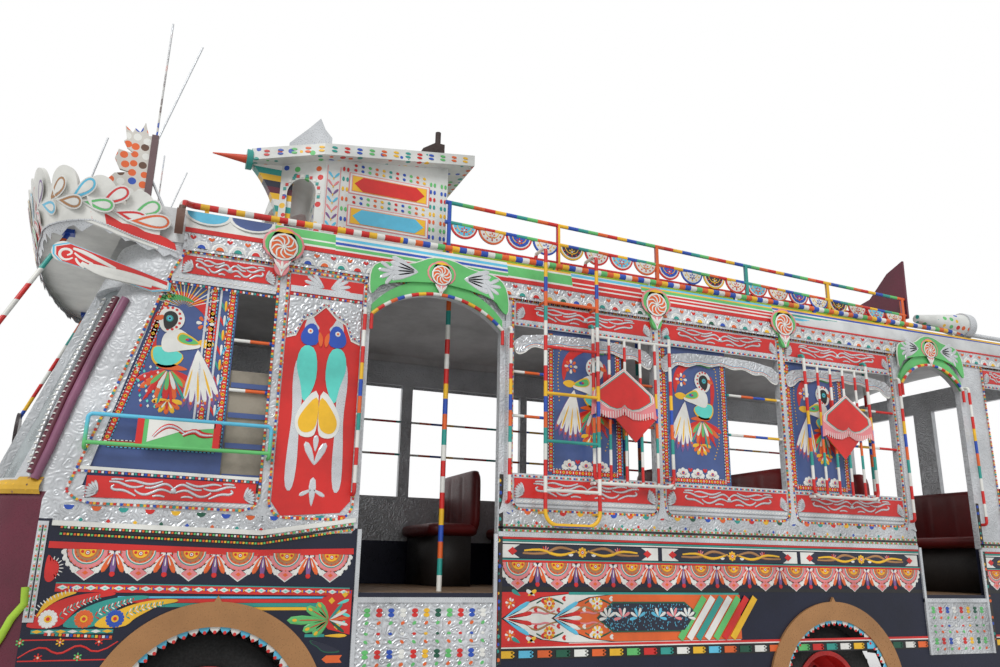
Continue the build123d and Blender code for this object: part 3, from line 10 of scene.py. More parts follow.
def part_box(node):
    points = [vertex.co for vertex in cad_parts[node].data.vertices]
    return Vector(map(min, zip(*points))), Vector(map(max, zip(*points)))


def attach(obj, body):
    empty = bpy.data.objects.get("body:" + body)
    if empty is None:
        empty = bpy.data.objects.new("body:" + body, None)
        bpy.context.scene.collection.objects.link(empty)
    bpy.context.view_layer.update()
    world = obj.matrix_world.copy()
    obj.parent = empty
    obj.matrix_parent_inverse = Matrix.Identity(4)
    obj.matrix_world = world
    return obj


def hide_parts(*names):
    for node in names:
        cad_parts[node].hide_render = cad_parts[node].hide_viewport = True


bl_info = {
    "name": "Decorated bus dressing",
    "version": (1, 0, 0),
    "blender": (4, 5, 0),
    "location": "3D View > Sidebar > Bus",
    "description": "Paints and ornaments for a decorated passenger bus",
    "category": "Object",
}

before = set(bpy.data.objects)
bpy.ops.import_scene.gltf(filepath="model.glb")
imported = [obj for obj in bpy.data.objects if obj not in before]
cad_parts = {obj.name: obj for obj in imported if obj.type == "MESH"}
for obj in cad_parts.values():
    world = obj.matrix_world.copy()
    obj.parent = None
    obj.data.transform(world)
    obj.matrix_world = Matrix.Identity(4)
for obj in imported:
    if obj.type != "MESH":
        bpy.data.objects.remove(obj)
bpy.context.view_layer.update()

# Places read from the frame, in metres
SIDE_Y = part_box("side_wall_left")[1].y
REAR_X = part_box("side_wall_left")[0].x
BOARD_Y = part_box("window_panels")[1].y
LEFT, RIGHT = 1, -1
SIDES = ((LEFT, "left"), (RIGHT, "right"))

# Openings of the two sides, front x and rear x
DOORWAYS = [(2.045, 1.145), (-2.475, -3.185)]
BAYS = [(1.045, -0.055), (-0.125, -1.205), (-1.275, -2.375)]
REAR_BAY = (-3.495, -4.085)
ROAD_BAYS = [(2.0, 1.145), *BAYS, (-2.475, -3.3), (-3.4, -4.085)]
PILLARS = (1.095, -0.09, -1.24, -2.425)
ROAD_PILLARS = (*PILLARS, -3.35, 2.07)

# Lengths of wall below the windows, front x and rear x
KERB_WALLS = [(1.14, -2.47), (-3.19, -4.17)]
ROAD_WALLS = [(2.58, -4.17)]
WHEEL_ARCHES = (2.795, -1.545)

# Heights on the side walls: windows, belt, panels of scrolls and the frieze's first beads
SILL_Z = 1.89
HEAD_Z = 2.91
ROSETTE_Z = 1.328
LOZENGE_Z = 1.397
FRAME_FOOT_Z = 1.655
SILL_PANEL_Z = 1.795
HEAD_PANEL_Z = 2.995
FRIEZE_Z = 3.075

# Place along the roof rail where its bands change, a height above the whole bus and a length past it
RAIL_CHANGE_X = 1.85
FULL_HEIGHT = 5.0
PAST_REAR = 50.0


def tint(red, green, blue):
    """Linear colour from the three values that a colour picker shows."""
    return tuple(
        (v / 255 / 12.92 if v < 11 else ((v / 255 + 0.055) / 1.055) ** 2.4) for v in (red, green, blue)
    )


def opaque(red, green, blue):
    """Linear colour with a full fourth value."""
    return (*tint(red, green, blue), 1.0)


def colour(name, description, value):
    """Colour property with a linear default."""
    return FloatVectorProperty(
        name=name, description=description, subtype="COLOR", size=3, min=0, max=1.0, default=value
    )


def metres(name, description, value, low, high):
    """Length property between two limits, in metres."""
    return FloatProperty(name=name, description=description, default=value, min=low, max=high, unit="LENGTH")


class BusPaints(bpy.types.PropertyGroup):
    """Enamels of the hand-painted ornaments."""

    red: colour("Red", "Panels and lines", tint(206, 38, 34))
    orange: colour("Orange", "Petals and beads", tint(222, 98, 40))
    yellow: colour("Yellow", "Petals and beads", tint(236, 184, 40))
    white: colour("White", "Outlines and petals", tint(226, 226, 220))
    blue: colour("Blue", "Beads and boards", tint(36, 78, 176))
    sky: colour("Light blue", "Tubes and edges", tint(92, 188, 220))
    teal: colour("Teal", "Lines and bird bodies", tint(44, 150, 140))
    aqua: colour("Aqua", "Bird bodies", tint(96, 214, 200))
    green: colour("Green", "Canopies and leaves", tint(96, 186, 106))
    forest: colour("Dark green", "Jewels and bands", tint(18, 84, 62))
    navy: colour("Navy", "Ground of the belt", tint(26, 30, 50))
    black: colour("Black", "Gaskets and lines", tint(16, 16, 18))
    maroon: colour("Maroon", "Cowl", tint(92, 22, 44))
    lime: colour("Lime", "Curls and planks", tint(166, 204, 54))
    pink: colour("Pink", "Scrolls", tint(222, 132, 136))
    purple: colour("Purple", "Petals and tubes", tint(120, 84, 140))
    brown: colour("Brown", "Wood and struts", tint(92, 62, 44))
    slate: colour("Slate blue", "Ground of the bird boards", tint(66, 86, 138))
    gold: colour("Gold", "Wheel arch mouldings", tint(168, 122, 78))


class BusSizes(bpy.types.PropertyGroup):
    """Sizes of the repeated ornaments."""

    bead: metres("Bead", "Edge of a bead", 0.013, 0.004, 0.05)
    bead_pitch: metres("Bead pitch", "Distance between beads", 0.0165, 0.006, 0.1)
    relief: metres("Relief", "Thickness of a painted layer", 0.0016, 0.0005, 0.01)
    rosette_pitch: metres("Rosette pitch", "Width of a half rosette", 0.27, 0.1, 0.6)
    scroll: metres("Scroll", "Width of an embossed scroll", 0.016, 0.004, 0.05)
    seed: IntProperty(name="Seed", description="Start of the random order", default=7, min=0)


def sizes():
    """Sizes set in the panel."""
    return bpy.context.scene.bus_sizes


def paint_colour(name):
    """Colour of a paint as four values."""
    return (*getattr(bpy.context.scene.bus_paints, name), 1.0)


# Node helpers


def wire(tree, kind, sockets=None, **settings):
    """Add a shader node, set its options and connect or fill its sockets."""
    node = tree.nodes.new("ShaderNode" + kind)
    for key, value in settings.items():
        setattr(node, key, value)
    for key, value in (sockets or {}).items():
        if isinstance(value, bpy.types.NodeSocket):
            tree.links.new(value, node.inputs[key])
        else:
            node.inputs[key].default_value = value
    return node


def mixed(tree, factor, first, second):
    """Colour between two colours or sockets."""
    return wire(tree, "Mix", {0: factor, 6: first, 7: second}, data_type="RGBA").outputs[2]


def ramp(tree, factor, stops, steps=False):
    """Colour ramp with stops of position and colour."""
    node = wire(tree, "ValToRGB", {"Fac": factor})
    band = node.color_ramp
    band.interpolation = "CONSTANT" if steps else "LINEAR"
    for position, value in stops[2:]:
        band.elements.new(position)
    for element, (position, value) in zip(band.elements, stops):
        element.position = position
        element.color = (*value[:3], 1.0)
    return node.outputs["Color"]


def reckon(tree, operation, first, second=0):
    """Result of a maths node."""
    return wire(tree, "Math", {0: first, 1: second}, operation=operation).outputs[0]


def noise(tree, place, scale, detail, rough=0.5):
    """Soft noise over an object."""
    sockets = {"Vector": place, "Scale": scale, "Detail": detail, "Roughness": rough}
    return wire(tree, "TexNoise", sockets).outputs["Fac"]


def blank(name):
    """New material, its node tree and its main shader."""
    material = bpy.data.materials.new(name)
    material.use_nodes = True
    tree = material.node_tree
    return material, tree, tree.nodes["Principled BSDF"]


def grey(value):
    """Grey as four values."""
    return (value, value, value, 1.0)


def weather(tree, shader, base, rough, grime=0.3, bump=0.12, grain=90.0, metal=0):
    """Dust, handling marks and small dents over a base colour."""
    place = wire(tree, "TexCoord").outputs["Object"]
    broad = noise(tree, place, 2.6, 5.0, 0.62)
    fine = noise(tree, place, grain, 3.0)
    shade = ramp(tree, broad, [(0.34, grey(1.0 - grime)), (0.62, grey(1.0))])
    worn = wire(tree, "Mix", {0: 1.0, 6: base, 7: shade}, data_type="RGBA", blend_type="MULTIPLY").outputs[2]
    tree.links.new(worn, shader.inputs["Base Color"])
    uneven = ramp(tree, fine, [(0.3, grey(max(0.05, rough - 0.1))), (0.7, grey(min(1.0, rough + 0.14)))])
    tree.links.new(uneven, shader.inputs["Roughness"])
    shader.inputs["Metallic"].default_value = metal
    dents = wire(tree, "Bump", {"Height": fine, "Strength": bump, "Distance": 0.002})
    tree.links.new(dents.outputs["Normal"], shader.inputs["Normal"])
    return place, dents


def enamel(name, value, rough=0.38, grime=0.3, metal=0):
    """Hand-laid enamel."""
    material, tree, shader = blank(name)
    base = wire(tree, "RGB")
    base.outputs[0].default_value = value
    weather(tree, shader, base.outputs[0], rough, grime, metal=metal)
    return material


def scales(tree, shader, place, dents, scale, ripple, depth, distance):
    """Press rows of small scales into a finish, over its dents."""
    cells = wire(tree, "TexVoronoi", {"Vector": place, "Scale": scale}, feature="SMOOTH_F1").outputs
    rows = reckon(tree, "SINE", reckon(tree, "MULTIPLY", cells["Distance"], ripple))
    sockets = {"Height": rows, "Strength": depth, "Distance": distance, "Normal": dents.outputs["Normal"]}
    tree.links.new(wire(tree, "Bump", sockets).outputs["Normal"], shader.inputs["Normal"])


def tin(name, value, rough=0.36, metal=0.5):
    """Embossed sheet tin: rows of small scales with a hammered ground."""
    material, tree, shader = blank(name)
    base = wire(tree, "RGB")
    base.outputs[0].default_value = value
    place, dents = weather(tree, shader, base.outputs[0], rough, 0.34, 0.2, metal=metal)
    scales(tree, shader, place, dents, 26.0, 22.0, 0.5, 0.006)
    return material


def choice(tree, share, names):
    """One of several paints by a share between 0 and 1."""
    return ramp(tree, share, [(i / len(names), paint_colour(n)) for i, n in enumerate(names)], steps=True)


def bands(tree, along, period, names):
    """Coloured bands of one length each along a coordinate."""
    shifted = reckon(tree, "ADD", along, PAST_REAR)
    return choice(tree, reckon(tree, "FRACT", reckon(tree, "DIVIDE", shifted, period)), names)


def banded(name, axis, period, names, rough=0.35, rear=None):
    """Enamel in bands along one axis, with other bands on the rear of a rail where they are given."""
    material, tree, shader = blank(name)
    place = wire(tree, "TexCoord").outputs["Object"]
    parts = wire(tree, "SeparateXYZ", {0: place}).outputs
    base = bands(tree, parts["XYZ".index(axis)], period, names)
    if rear:
        ahead = reckon(tree, "GREATER_THAN", parts[0], RAIL_CHANGE_X)
        base = mixed(tree, ahead, bands(tree, parts[0], period, rear), base)
    weather(tree, shader, base, rough, 0.25)
    return material


def spotted(name, ground, names, scale=9.0, size=0.3, rough=0.4):
    """Enamel with round dabs of several colours."""
    material, tree, shader = blank(name)
    place = wire(tree, "TexCoord").outputs["Object"]
    cells = wire(tree, "TexVoronoi", {"Vector": place, "Scale": scale, "Randomness": 0.35}).outputs
    pick = wire(tree, "SeparateColor", {"Color": cells["Color"]}).outputs[0]
    inside = reckon(tree, "LESS_THAN", cells["Distance"], size)
    base = mixed(tree, inside, ground, choice(tree, pick, names))
    weather(tree, shader, base, rough, 0.3)
    return material


def zoned(name, levels, rough=0.4, metal=0, emboss=0):
    """Enamel in level zones, the top one embossed: rows of a zone's lowest height and its colour."""
    material, tree, shader = blank(name)
    place = wire(tree, "TexCoord").outputs["Object"]
    height = wire(tree, "SeparateXYZ", {0: place}).outputs["Z"]
    share = reckon(tree, "DIVIDE", height, FULL_HEIGHT)
    zones = ramp(tree, share, [(z / FULL_HEIGHT, value) for z, value in levels], steps=True)
    place, dents = weather(tree, shader, zones, rough, metal=metal)
    if emboss:
        above = reckon(tree, "GREATER_THAN", height, levels[-1][0])
        scales(tree, shader, place, dents, 24.0, 24.0, reckon(tree, "MULTIPLY", above, emboss), 0.004)
    return material


SILVER = opaque(202, 205, 208)
UPRIGHT_MIX = ["teal", "orange", "blue", "yellow", "red", "white", "red", "white"]
LEVEL_MIX = ["red", "white", "yellow", "blue", "orange", "white", "teal", "red"]
MADE = {}

# Finishes that are more than a coat of one paint
SPECIAL = {
    "silver": lambda: tin("silver_tin", SILVER),
    "foil": lambda: enamel("silver_paint", SILVER, 0.3, 0.3, 0.45),
    "mauve": lambda: enamel("mauve_paint", opaque(138, 84, 112), 0.4, 0.4),
    "worn_yellow": lambda: spotted(
        "worn_yellow", opaque(214, 168, 46), ["brown", "gold", "yellow"], 30.0, 0.22, 0.5
    ),
    "jamb": lambda: spotted(
        "jamb_dabs", opaque(44, 36, 32), ["orange", "blue", "teal", "yellow"], 24.0, 0.3, 0.5
    ),
    "vinyl": lambda: enamel("seat_vinyl", opaque(112, 26, 26), 0.42, 0.35),
    "plinth": lambda: enamel("seat_plinth", opaque(48, 44, 42), 0.6, 0.4),
    "rubber": lambda: enamel("tread_rubber", opaque(32, 32, 32), 0.85, 0.4),
    "bands_z": lambda: banded("bands_upright", "Z", 0.84, UPRIGHT_MIX),
    "bands_x": lambda: banded("bands_level", "X", 0.9, LEVEL_MIX),
}


def finish_of(name):
    """Material for a paint or finish name, made once; a material is given back as it is."""
    if isinstance(name, bpy.types.Material):
        return name
    if name not in MADE:
        MADE[name] = SPECIAL[name]() if name in SPECIAL else enamel("paint_" + name, paint_colour(name))
    return MADE[name]


# Small shapes: X across, Y along, Z out of the wall, one unit each


def plate(bm, sides, low, high, along=0):
    """Round plate one unit thick, with its radius at the wall and outside."""
    place = Matrix.Translation((0, along, 0.5))
    bmesh.ops.create_cone(
        bm, cap_ends=True, segments=sides, radius1=low, radius2=high, depth=1.0, matrix=place
    )


def make_block(bm):
    bmesh.ops.create_cube(bm, size=1.0, matrix=Matrix.Translation((0, 0, 0.5)))


def make_disc(bm, sides=14):
    plate(bm, sides, 1.0, 0.88)


def make_diamond(bm):
    make_disc(bm, 4)
    bmesh.ops.rotate(bm, verts=bm.verts, matrix=Matrix.Rotation(math.pi / 2, 3, "Z"))


def make_half_disc(bm):
    make_disc(bm, 20)
    geometry = [*bm.verts, *bm.edges, *bm.faces]
    bmesh.ops.bisect_plane(bm, geom=geometry, plane_co=(0, 0, 0), plane_no=(0, 1, 0), clear_outer=True)
    bmesh.ops.holes_fill(bm, edges=bm.edges, sides=0)


def make_dome(bm):
    bmesh.ops.create_uvsphere(bm, u_segments=12, v_segments=6, radius=1.0)
    geometry = [*bm.verts, *bm.edges, *bm.faces]
    bmesh.ops.bisect_plane(bm, geom=geometry, plane_co=(0, 0, -0.01), plane_no=(0, 0, 1), clear_inner=True)


def make_petal(bm):
    """Leaf shape whose foot is at the origin and whose round end is at Y 1."""
    plate(bm, 10, 0.5, 0.4, 0.5)
    for vert in bm.verts:
        vert.co.x *= 0.42 + 0.72 * vert.co.y


def make_drop(bm):
    """Drop whose point is at the origin and whose round end is at Y 1."""
    plate(bm, 24, 0.5, 0.5, 0.5)
    for vert in bm.verts:
        vert.co.x *= 1.4 * max(0, vert.co.y) ** 0.7


MAKERS = {
    "block": make_block, "disc": make_disc, "diamond": make_diamond, "half_disc": make_half_disc,
    "dome": make_dome, "petal": make_petal, "drop": make_drop,
}
SHAPES = {}


def shape(name):
    """Mesh of a small shape, made once."""
    if name not in SHAPES:
        bm = bmesh.new()
        MAKERS[name](bm)
        bmesh.ops.recalc_face_normals(bm, faces=bm.faces)
        SHAPES[name] = bpy.data.meshes.new(name)
        bm.to_mesh(SHAPES[name])
        bm.free()
    return SHAPES[name]


def curve_mesh(curve):
    """Mesh of a curve that is not kept."""
    holder = bpy.data.objects.new("curve", curve)
    mesh = bpy.data.meshes.new_from_object(holder)
    bpy.data.objects.remove(holder)
    bpy.data.curves.remove(curve)
    return mesh


def bent(across, along, place_of, thick=0.002):
    """Thin sheet whose points are given for two shares between 0 and 1."""
    bm = bmesh.new()
    bmesh.ops.create_grid(bm, x_segments=across, y_segments=along, size=0.5)
    for vert in bm.verts:
        vert.co = place_of(vert.co.x + 0.5, vert.co.y + 0.5)
    bmesh.ops.recalc_face_normals(bm, faces=bm.faces)
    bmesh.ops.solidify(bm, geom=bm.faces[:], thickness=thick)
    bmesh.ops.recalc_face_normals(bm, faces=bm.faces)
    mesh = bpy.data.meshes.new("sheet")
    bm.to_mesh(mesh)
    bm.free()
    return mesh


def between(x, table):
    """Height at x on a line through rows of x and height."""
    for (x0, z0), (x1, z1) in zip(table, table[1:]):
        if x0 <= x <= x1:
            return z0 + (z1 - z0) * (x - x0) / (x1 - x0)
    return table[0][1] if x < table[0][0] else table[-1][1]


def landed(node, start, aim, lift=0):
    """Place where a ray meets a solid, Z out of it and Y upwards, or None."""
    met, spot, normal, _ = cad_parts[node].ray_cast(Vector(start), Vector(aim).normalized())
    if not met:
        return None
    across = Vector((0, 0, 1)).cross(normal).normalized()
    place = Matrix((across, normal.cross(across), normal)).transposed().to_4x4()
    place.translation = spot + normal * lift
    return place


def stroke(points, width, flat=0.5):
    """Tapered bar along points of (x, y), flattened to a relief."""
    curve = bpy.data.curves.new("stroke", "CURVE")
    curve.dimensions = "3D"
    curve.bevel_depth = width / 2
    curve.bevel_resolution = 1
    curve.resolution_u = 3
    curve.use_fill_caps = True
    spline = curve.splines.new("NURBS")
    spline.points.add(len(points) - 1)
    for i, (x, y) in enumerate(points):
        share = i / (len(points) - 1)
        spline.points[i].co = (x, y, 0, 1)
        spline.points[i].radius = 0.35 + 0.65 * math.sin(math.pi * (0.12 + 0.76 * share))
    spline.order_u = 3
    spline.use_endpoint_u = True
    mesh = curve_mesh(curve)
    mesh.transform(Matrix.Diagonal((1, 1, flat, 1)))
    return mesh


def cable(points, radius):
    """Round bar along points of (x, y, z)."""
    curve = bpy.data.curves.new("cable", "CURVE")
    curve.dimensions = "3D"
    curve.bevel_depth = radius
    curve.bevel_resolution = 2
    curve.use_fill_caps = True
    spline = curve.splines.new("POLY")
    spline.points.add(len(points) - 1)
    for point, spot in zip(spline.points, points):
        point.co = (*spot, 1)
    return curve_mesh(curve)


def cutout(points, deep, smooth=True):
    """Flat board with a closed outline of (x, y) points."""
    curve = bpy.data.curves.new("cutout", "CURVE")
    curve.dimensions = "2D"
    curve.fill_mode = "BOTH"
    curve.extrude = deep / 2
    curve.resolution_u = 3
    spline = curve.splines.new("NURBS" if smooth else "POLY")
    spline.points.add(len(points) - 1)
    for point, (x, y) in zip(spline.points, points):
        point.co = (x, y, 0, 1)
    spline.use_cyclic_u = True
    if smooth:
        spline.order_u = 3
    mesh = curve_mesh(curve)
    mesh.transform(Matrix.Translation((0, 0, deep / 2)))
    return mesh


def flipped(points, way=-1):
    """The points, or their mirror image where way is -1."""
    return [(way * x, y) for x, y in points]


def whole(points, first=0):
    """Closed outline of the points and their mirror image, without the repeated ends."""
    return points + flipped(points[first:-1])[::-1]


def pointed(half, end, tall):
    """Outline of a long panel whose two ends run to a point."""
    near = half - end
    return [(-half, 0), (-near, tall), (near, tall), (half, 0), (near, -tall), (-near, -tall)]


class Piece:
    """One joined mesh, filled with copies of small shapes, with a slot for each paint."""

    def __init__(self, name):
        self.name = name
        self.mesh = bmesh.new()
        self.paints = []

    def add(self, mesh, place, paint):
        """Join a mesh at a place, in a paint; the mesh is used up."""
        if paint not in self.paints:
            self.paints.append(paint)
        mesh.transform(place)
        number = self.paints.index(paint)
        mesh.polygons.foreach_set("material_index", [number] * len(mesh.polygons))
        self.mesh.from_mesh(mesh)
        bpy.data.meshes.remove(mesh)

    def put(self, name, place, paint, size):
        """Small shape at a place, scaled to a size."""
        self.add(shape(name).copy(), place @ Matrix.Diagonal((*size, 1)), paint)

    def dots(self, place, rows):
        """Round dots on one another: rows of paint, radius and thickness."""
        for paint, radius, deep in rows:
            self.put("disc", place, paint, (radius, radius, deep))

    def done(self, body="coach", replaces=(), smooth=False):
        """Object of the finished piece, on its body."""
        data = bpy.data.meshes.new(self.name)
        self.mesh.to_mesh(data)
        self.mesh.free()
        for paint in self.paints:
            data.materials.append(finish_of(paint))
        if smooth:
            data.polygons.foreach_set("use_smooth", [True] * len(data.polygons))
        made = bpy.data.objects.new(self.name, data)
        bpy.context.scene.collection.objects.link(made)
        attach(made, body)
        if replaces:
            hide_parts(*replaces)
        return made


def on_side(side, x, z, out=0, turn=0):
    """Place on a side wall: X to the viewer's right, Y up and Z outwards."""
    base = Matrix(((-side, 0, 0, x), (0, 0, side, side * (SIDE_Y + out)), (0, 1, 0, z), (0, 0, 0, 1)))
    return base @ Matrix.Rotation(math.radians(turn), 4, "Z")


def turned(place, angle, out=0, up=0):
    """Place turned by an angle in degrees, then moved out along its own Y."""
    return place @ Matrix.Rotation(math.radians(angle), 4, "Z") @ Matrix.Translation((0, out, up))


def moved(place, across, along, up=0):
    """Place moved along its own axes."""
    return place @ Matrix.Translation((across, along, up))


def lifted(place, up):
    """Place moved out along its own Z."""
    return moved(place, 0, 0, up)


def strip(piece, side, x0, x1, z, height, paint, out=0, deep=0.003, z1=None):
    """Flat strip on a side wall from x0 to x1, level unless z1 is given."""
    rise = (z if z1 is None else z1) - z
    length = math.hypot(x1 - x0, rise)
    angle = math.degrees(math.atan2(rise, (x0 - x1) * side))
    place = on_side(side, (x0 + x1) / 2, z + rise / 2, out, angle)
    piece.put("block", place, paint, (length, height, deep))


def spaced(start, end, pitch):
    """Evenly spaced middles from start to end."""
    count = max(1, round(abs(end - start) / pitch))
    return [start + (end - start) * (i + 0.5) / count for i in range(count)]


def beads(piece, side, path, paints, out=0, size=None, pitch=None):
    """Row of beads along a path of (x, z) points on a side wall."""
    size = size or sizes().bead
    pitch = pitch or sizes().bead_pitch
    number = 0
    for (x0, z0), (x1, z1) in zip(path, path[1:]):
        length = math.hypot(x1 - x0, z1 - z0)
        angle = math.degrees(math.atan2(z1 - z0, (x0 - x1) * side))
        for share in spaced(0, 1.0, pitch / length) if length > pitch else [0.5]:
            place = on_side(side, x0 + (x1 - x0) * share, z0 + (z1 - z0) * share, out, angle)
            piece.put("block", place, paints[number % len(paints)], (size, size, 0.006))
            number += 1


def rounded_frame(front, rear, low, high, radius=0.09, top_radius=0.03, steps=5):
    """Closed path of a frame with rounded corners, front x first."""
    path = []
    corners = [
        (front - radius, low + radius, radius, -90, 0),
        (front - top_radius, high - top_radius, top_radius, 0, 90),
        (rear + top_radius, high - top_radius, top_radius, 90, 180),
        (rear + radius, low + radius, radius, 180, 270),
    ]
    for x, z, r, start, end in corners:
        for i in range(steps + 1):
            angle = math.radians(start + (end - start) * i / steps)
            path.append((x + r * math.cos(angle), z + r * math.sin(angle)))
    return path + path[:1]


def fan(piece, place, count, start, stop, inner, length, width, paints, deep=0.0016):
    """Petals spread evenly between two angles, in degrees from upwards."""
    for i in range(count):
        angle = start + (stop - start) * i / max(1, count - 1)
        petal = turned(place, angle, inner)
        piece.put("petal", petal, paints[i % len(paints)], (width, length, deep))


def rings(piece, name, place, size, rows, deep=0.0016):
    """One small shape in layers: rows of share of the size and paint."""
    for number, (share, paint) in enumerate(rows):
        scaled = (size[0] * share, size[1] * share, deep * (1 + 0.6 * number))
        piece.put(name, place, paint, scaled)


BEAD_MIX = ["red", "white", "orange", "teal", "yellow", "red", "white", "blue", "orange", "yellow"]
LINE_MIX = ["red", "white", "blue", "orange", "white", "teal"]
JEWELS = ["blue", "orange", "teal", "red", "yellow", "forest"]
DAB_MIX = ["red", "blue", "green", "orange", "yellow", "teal"]


def lighting(context):
    """Soft sky and one broad sun from the camera's side."""
    world = bpy.data.worlds.new("studio")
    context.scene.world = world
    world.use_nodes = True
    tree = world.node_tree
    paths = wire(tree, "LightPath")
    seen = reckon(tree, "MAXIMUM", paths.outputs["Is Camera Ray"], paths.outputs["Is Transmission Ray"])
    seen = reckon(tree, "MAXIMUM", seen, paths.outputs["Is Glossy Ray"])
    level = wire(tree, "Mix", {0: seen, 2: 0.62, 3: 1.0}, data_type="FLOAT").outputs[0]
    back = tree.nodes["Background"]
    back.inputs["Color"].default_value = (1.0, 1.0, 1.0, 1.0)
    tree.links.new(level, back.inputs["Strength"])
    sun = bpy.data.lights.new("sun", "SUN")
    sun.energy = 1.7
    sun.angle = math.radians(24)
    lamp = bpy.data.objects.new("sun", sun)
    lamp.rotation_euler = Vector((-0.42, -0.62, -0.66)).to_track_quat("-Z", "Y").to_euler()
    context.scene.collection.objects.link(lamp)


def viewpoint(context):
    """Camera low on the kerb side, looking up at the front half."""
    yaw, pitch, roll = 0.393425874, 0.273437873, 0.017077783
    ahead = Vector((-math.sin(yaw) * math.cos(pitch), -math.cos(yaw) * math.cos(pitch), math.sin(pitch)))
    right = Vector((-math.cos(yaw), math.sin(yaw), 0))
    upward = right.cross(ahead)
    across = right * math.cos(roll) + upward * math.sin(roll)
    top = upward * math.cos(roll) - right * math.sin(roll)
    data = bpy.data.cameras.new("view")
    data.lens = 29.91
    data.sensor_width = 36.0
    data.clip_end = 300.0
    camera = bpy.data.objects.new("view", data)
    turn = Matrix((across, top, -ahead)).transposed().to_4x4()
    camera.matrix_world = Matrix.Translation((3.225, 6.2, 1.3)) @ turn
    context.scene.collection.objects.link(camera)
    context.scene.camera = camera
    context.scene.view_settings.view_transform = "Standard"


class BUS_OT_stage(bpy.types.Operator):
    """Make the floor, the light and the camera"""

    bl_idname = "bus.stage"
    bl_label = "Stage"

    def execute(self, context):
        bm = bmesh.new()
        bmesh.ops.create_grid(bm, x_segments=2, y_segments=2, size=60.0)
        data = bpy.data.meshes.new("floor_sheet")
        bm.to_mesh(data)
        bm.free()
        ground = bpy.data.objects.new("floor_sheet", data)
        context.scene.collection.objects.link(ground)
        material, _, shader = blank("floor_finish")
        shader.inputs["Base Color"].default_value = grey(0.72)
        shader.inputs["Roughness"].default_value = 0.85
        data.materials.append(material)
        lighting(context)
        viewpoint(context)
        return {"FINISHED"}


def dress(node, finish, parts=()):
    """Give a CAD node its finish, and other finishes to its faces in boxes whose y has no sign."""
    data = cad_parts[node].data
    data.materials.clear()
    data.materials.append(finish_of(finish))
    for number, (low, high, other) in enumerate(parts, 1):
        data.materials.append(finish_of(other))
        for face in data.polygons:
            x, y, z = face.center
            if all(a <= v <= b for a, v, b in zip(low, (x, abs(y), z), high)):
                face.material_index = number


def upper_parts():
    """Nodes whose faces carry several finishes."""
    pale = opaque(214, 216, 212)
    dabs = spotted("turret_dabs", pale, DAB_MIX, 15.0, 0.3)
    tatters = spotted(
        "wing_dabs", opaque(206, 202, 194), ["orange", "blue", "white", "orange", "brown"], 17.0, 0.4
    )
    stripes = banded("cove_stripes", "Z", 0.26, ["teal", "white", "yellow", "maroon", "navy", "yellow"])
    brown = enamel("beam_brown", opaque(58, 42, 38), 0.7, 0.4)
    dress("crown", "white")
    dress("crown_wings", "foil", [
        ((3.42, 0.9, 3.3), (3.9, 1.05, 4.2), tatters),
        ((3.415, 0.92, 3.3), (3.465, 1.03, 3.88), enamel("post_purple", opaque(104, 82, 84), 0.6, 0.4)),
    ])
    dress("roof_turret", enamel("turret_white", pale, 0.4, 0.3), [
        ((1.2, 0, 3.86), (2.9, 1.2, 4.4), dabs),
        ((2.38, 0.86, 3.3), (2.63, 1.03, 3.86), dabs),
        ((2.3, 0.985, 3.99), (2.66, 1.02, 4.4), "foil"),
        ((1.78, 0.875, 3.98), (2.31, 0.925, 4.4), brown),
        ((1.53, 0.94, 4.0), (1.71, 1.06, 4.6), brown),
        ((2.555, 0.795, 3.39), (2.85, 0.885, 3.93), stripes),
        ((2.3, 0, 3.35), (2.32, 0.7, 3.86), "pink"),
        ((2.836, 0.78, 3.8), (2.877, 0.98, 3.99), "teal"),
        ((2.877, 0.8, 3.8), (3.2, 0.98, 3.99), enamel("beak_orange", opaque(214, 74, 40), 0.35)),
    ])
    front = ["red", "white", "red", "yellow", "red", "red", "white", "yellow"]
    rear = ["blue", "orange", "white", "blue", "yellow", "orange", "green", "white"]
    dress("roof_rails", banded("rail_bands", "X", 0.42, front, rear=rear), [
        ((3.18, 1.2, 3.1), (3.3, 1.4, 3.32), enamel("puck_brown", opaque(116, 84, 70), 0.6, 0.4)),
        ((-4.0, 0.98, 3.3), (-2.84, 1.3, 3.7), dabs),
        ((-4.0, 0.98, 3.3), (-3.37, 1.3, 3.7), "foil"),
    ])
    fence = banded("fence_bands", "X", 0.5, ["blue", "yellow", "red", "orange", "green", "teal"])
    dress("roof_fence", fence, [
        ((-2.8, 1.08, 3.2), (1.6, 1.1, 3.43), "lime"),
        ((-2.8, 1.07, 3.43), (1.6, 1.112, 3.47), "red"),
        ((-2.8, 1.1065, 3.5), (1.6, 1.1135, 3.72), "slate"),
        ((-2.8, 0, 3.4), (-2.75, 1.2, 4.1), "maroon"),
    ])
    arms = enamel("mirror_brown", opaque(40, 26, 28), 0.3)
    dress("mirrors", "bands_z", [((4.16, 0.9, 2.0), (4.25, 1.2, 2.4), arms)])
    dress("side_crests", "green", [((2.3, 1.2, 2.5), (2.9, 1.25, 3.4), "pink")])
    dress("window_guards", "bands_z", [
        ((2.5, 1.2, 1.98), (3.7, 1.3, 2.2), "sky"),
        ((2.5, 1.2, 1.85), (3.7, 1.3, 1.97), "green"),
        ((-2.2, 1.2705, 2.0), (1.0, 1.28, 2.6), "red"),
    ])
    old_wood = enamel("shutter_wood", opaque(150, 142, 128), 0.8, 0.5)
    dress("window_panels", "slate", [((2.6, 1.15, 1.6), (2.853, 1.18, 2.42), old_wood)])


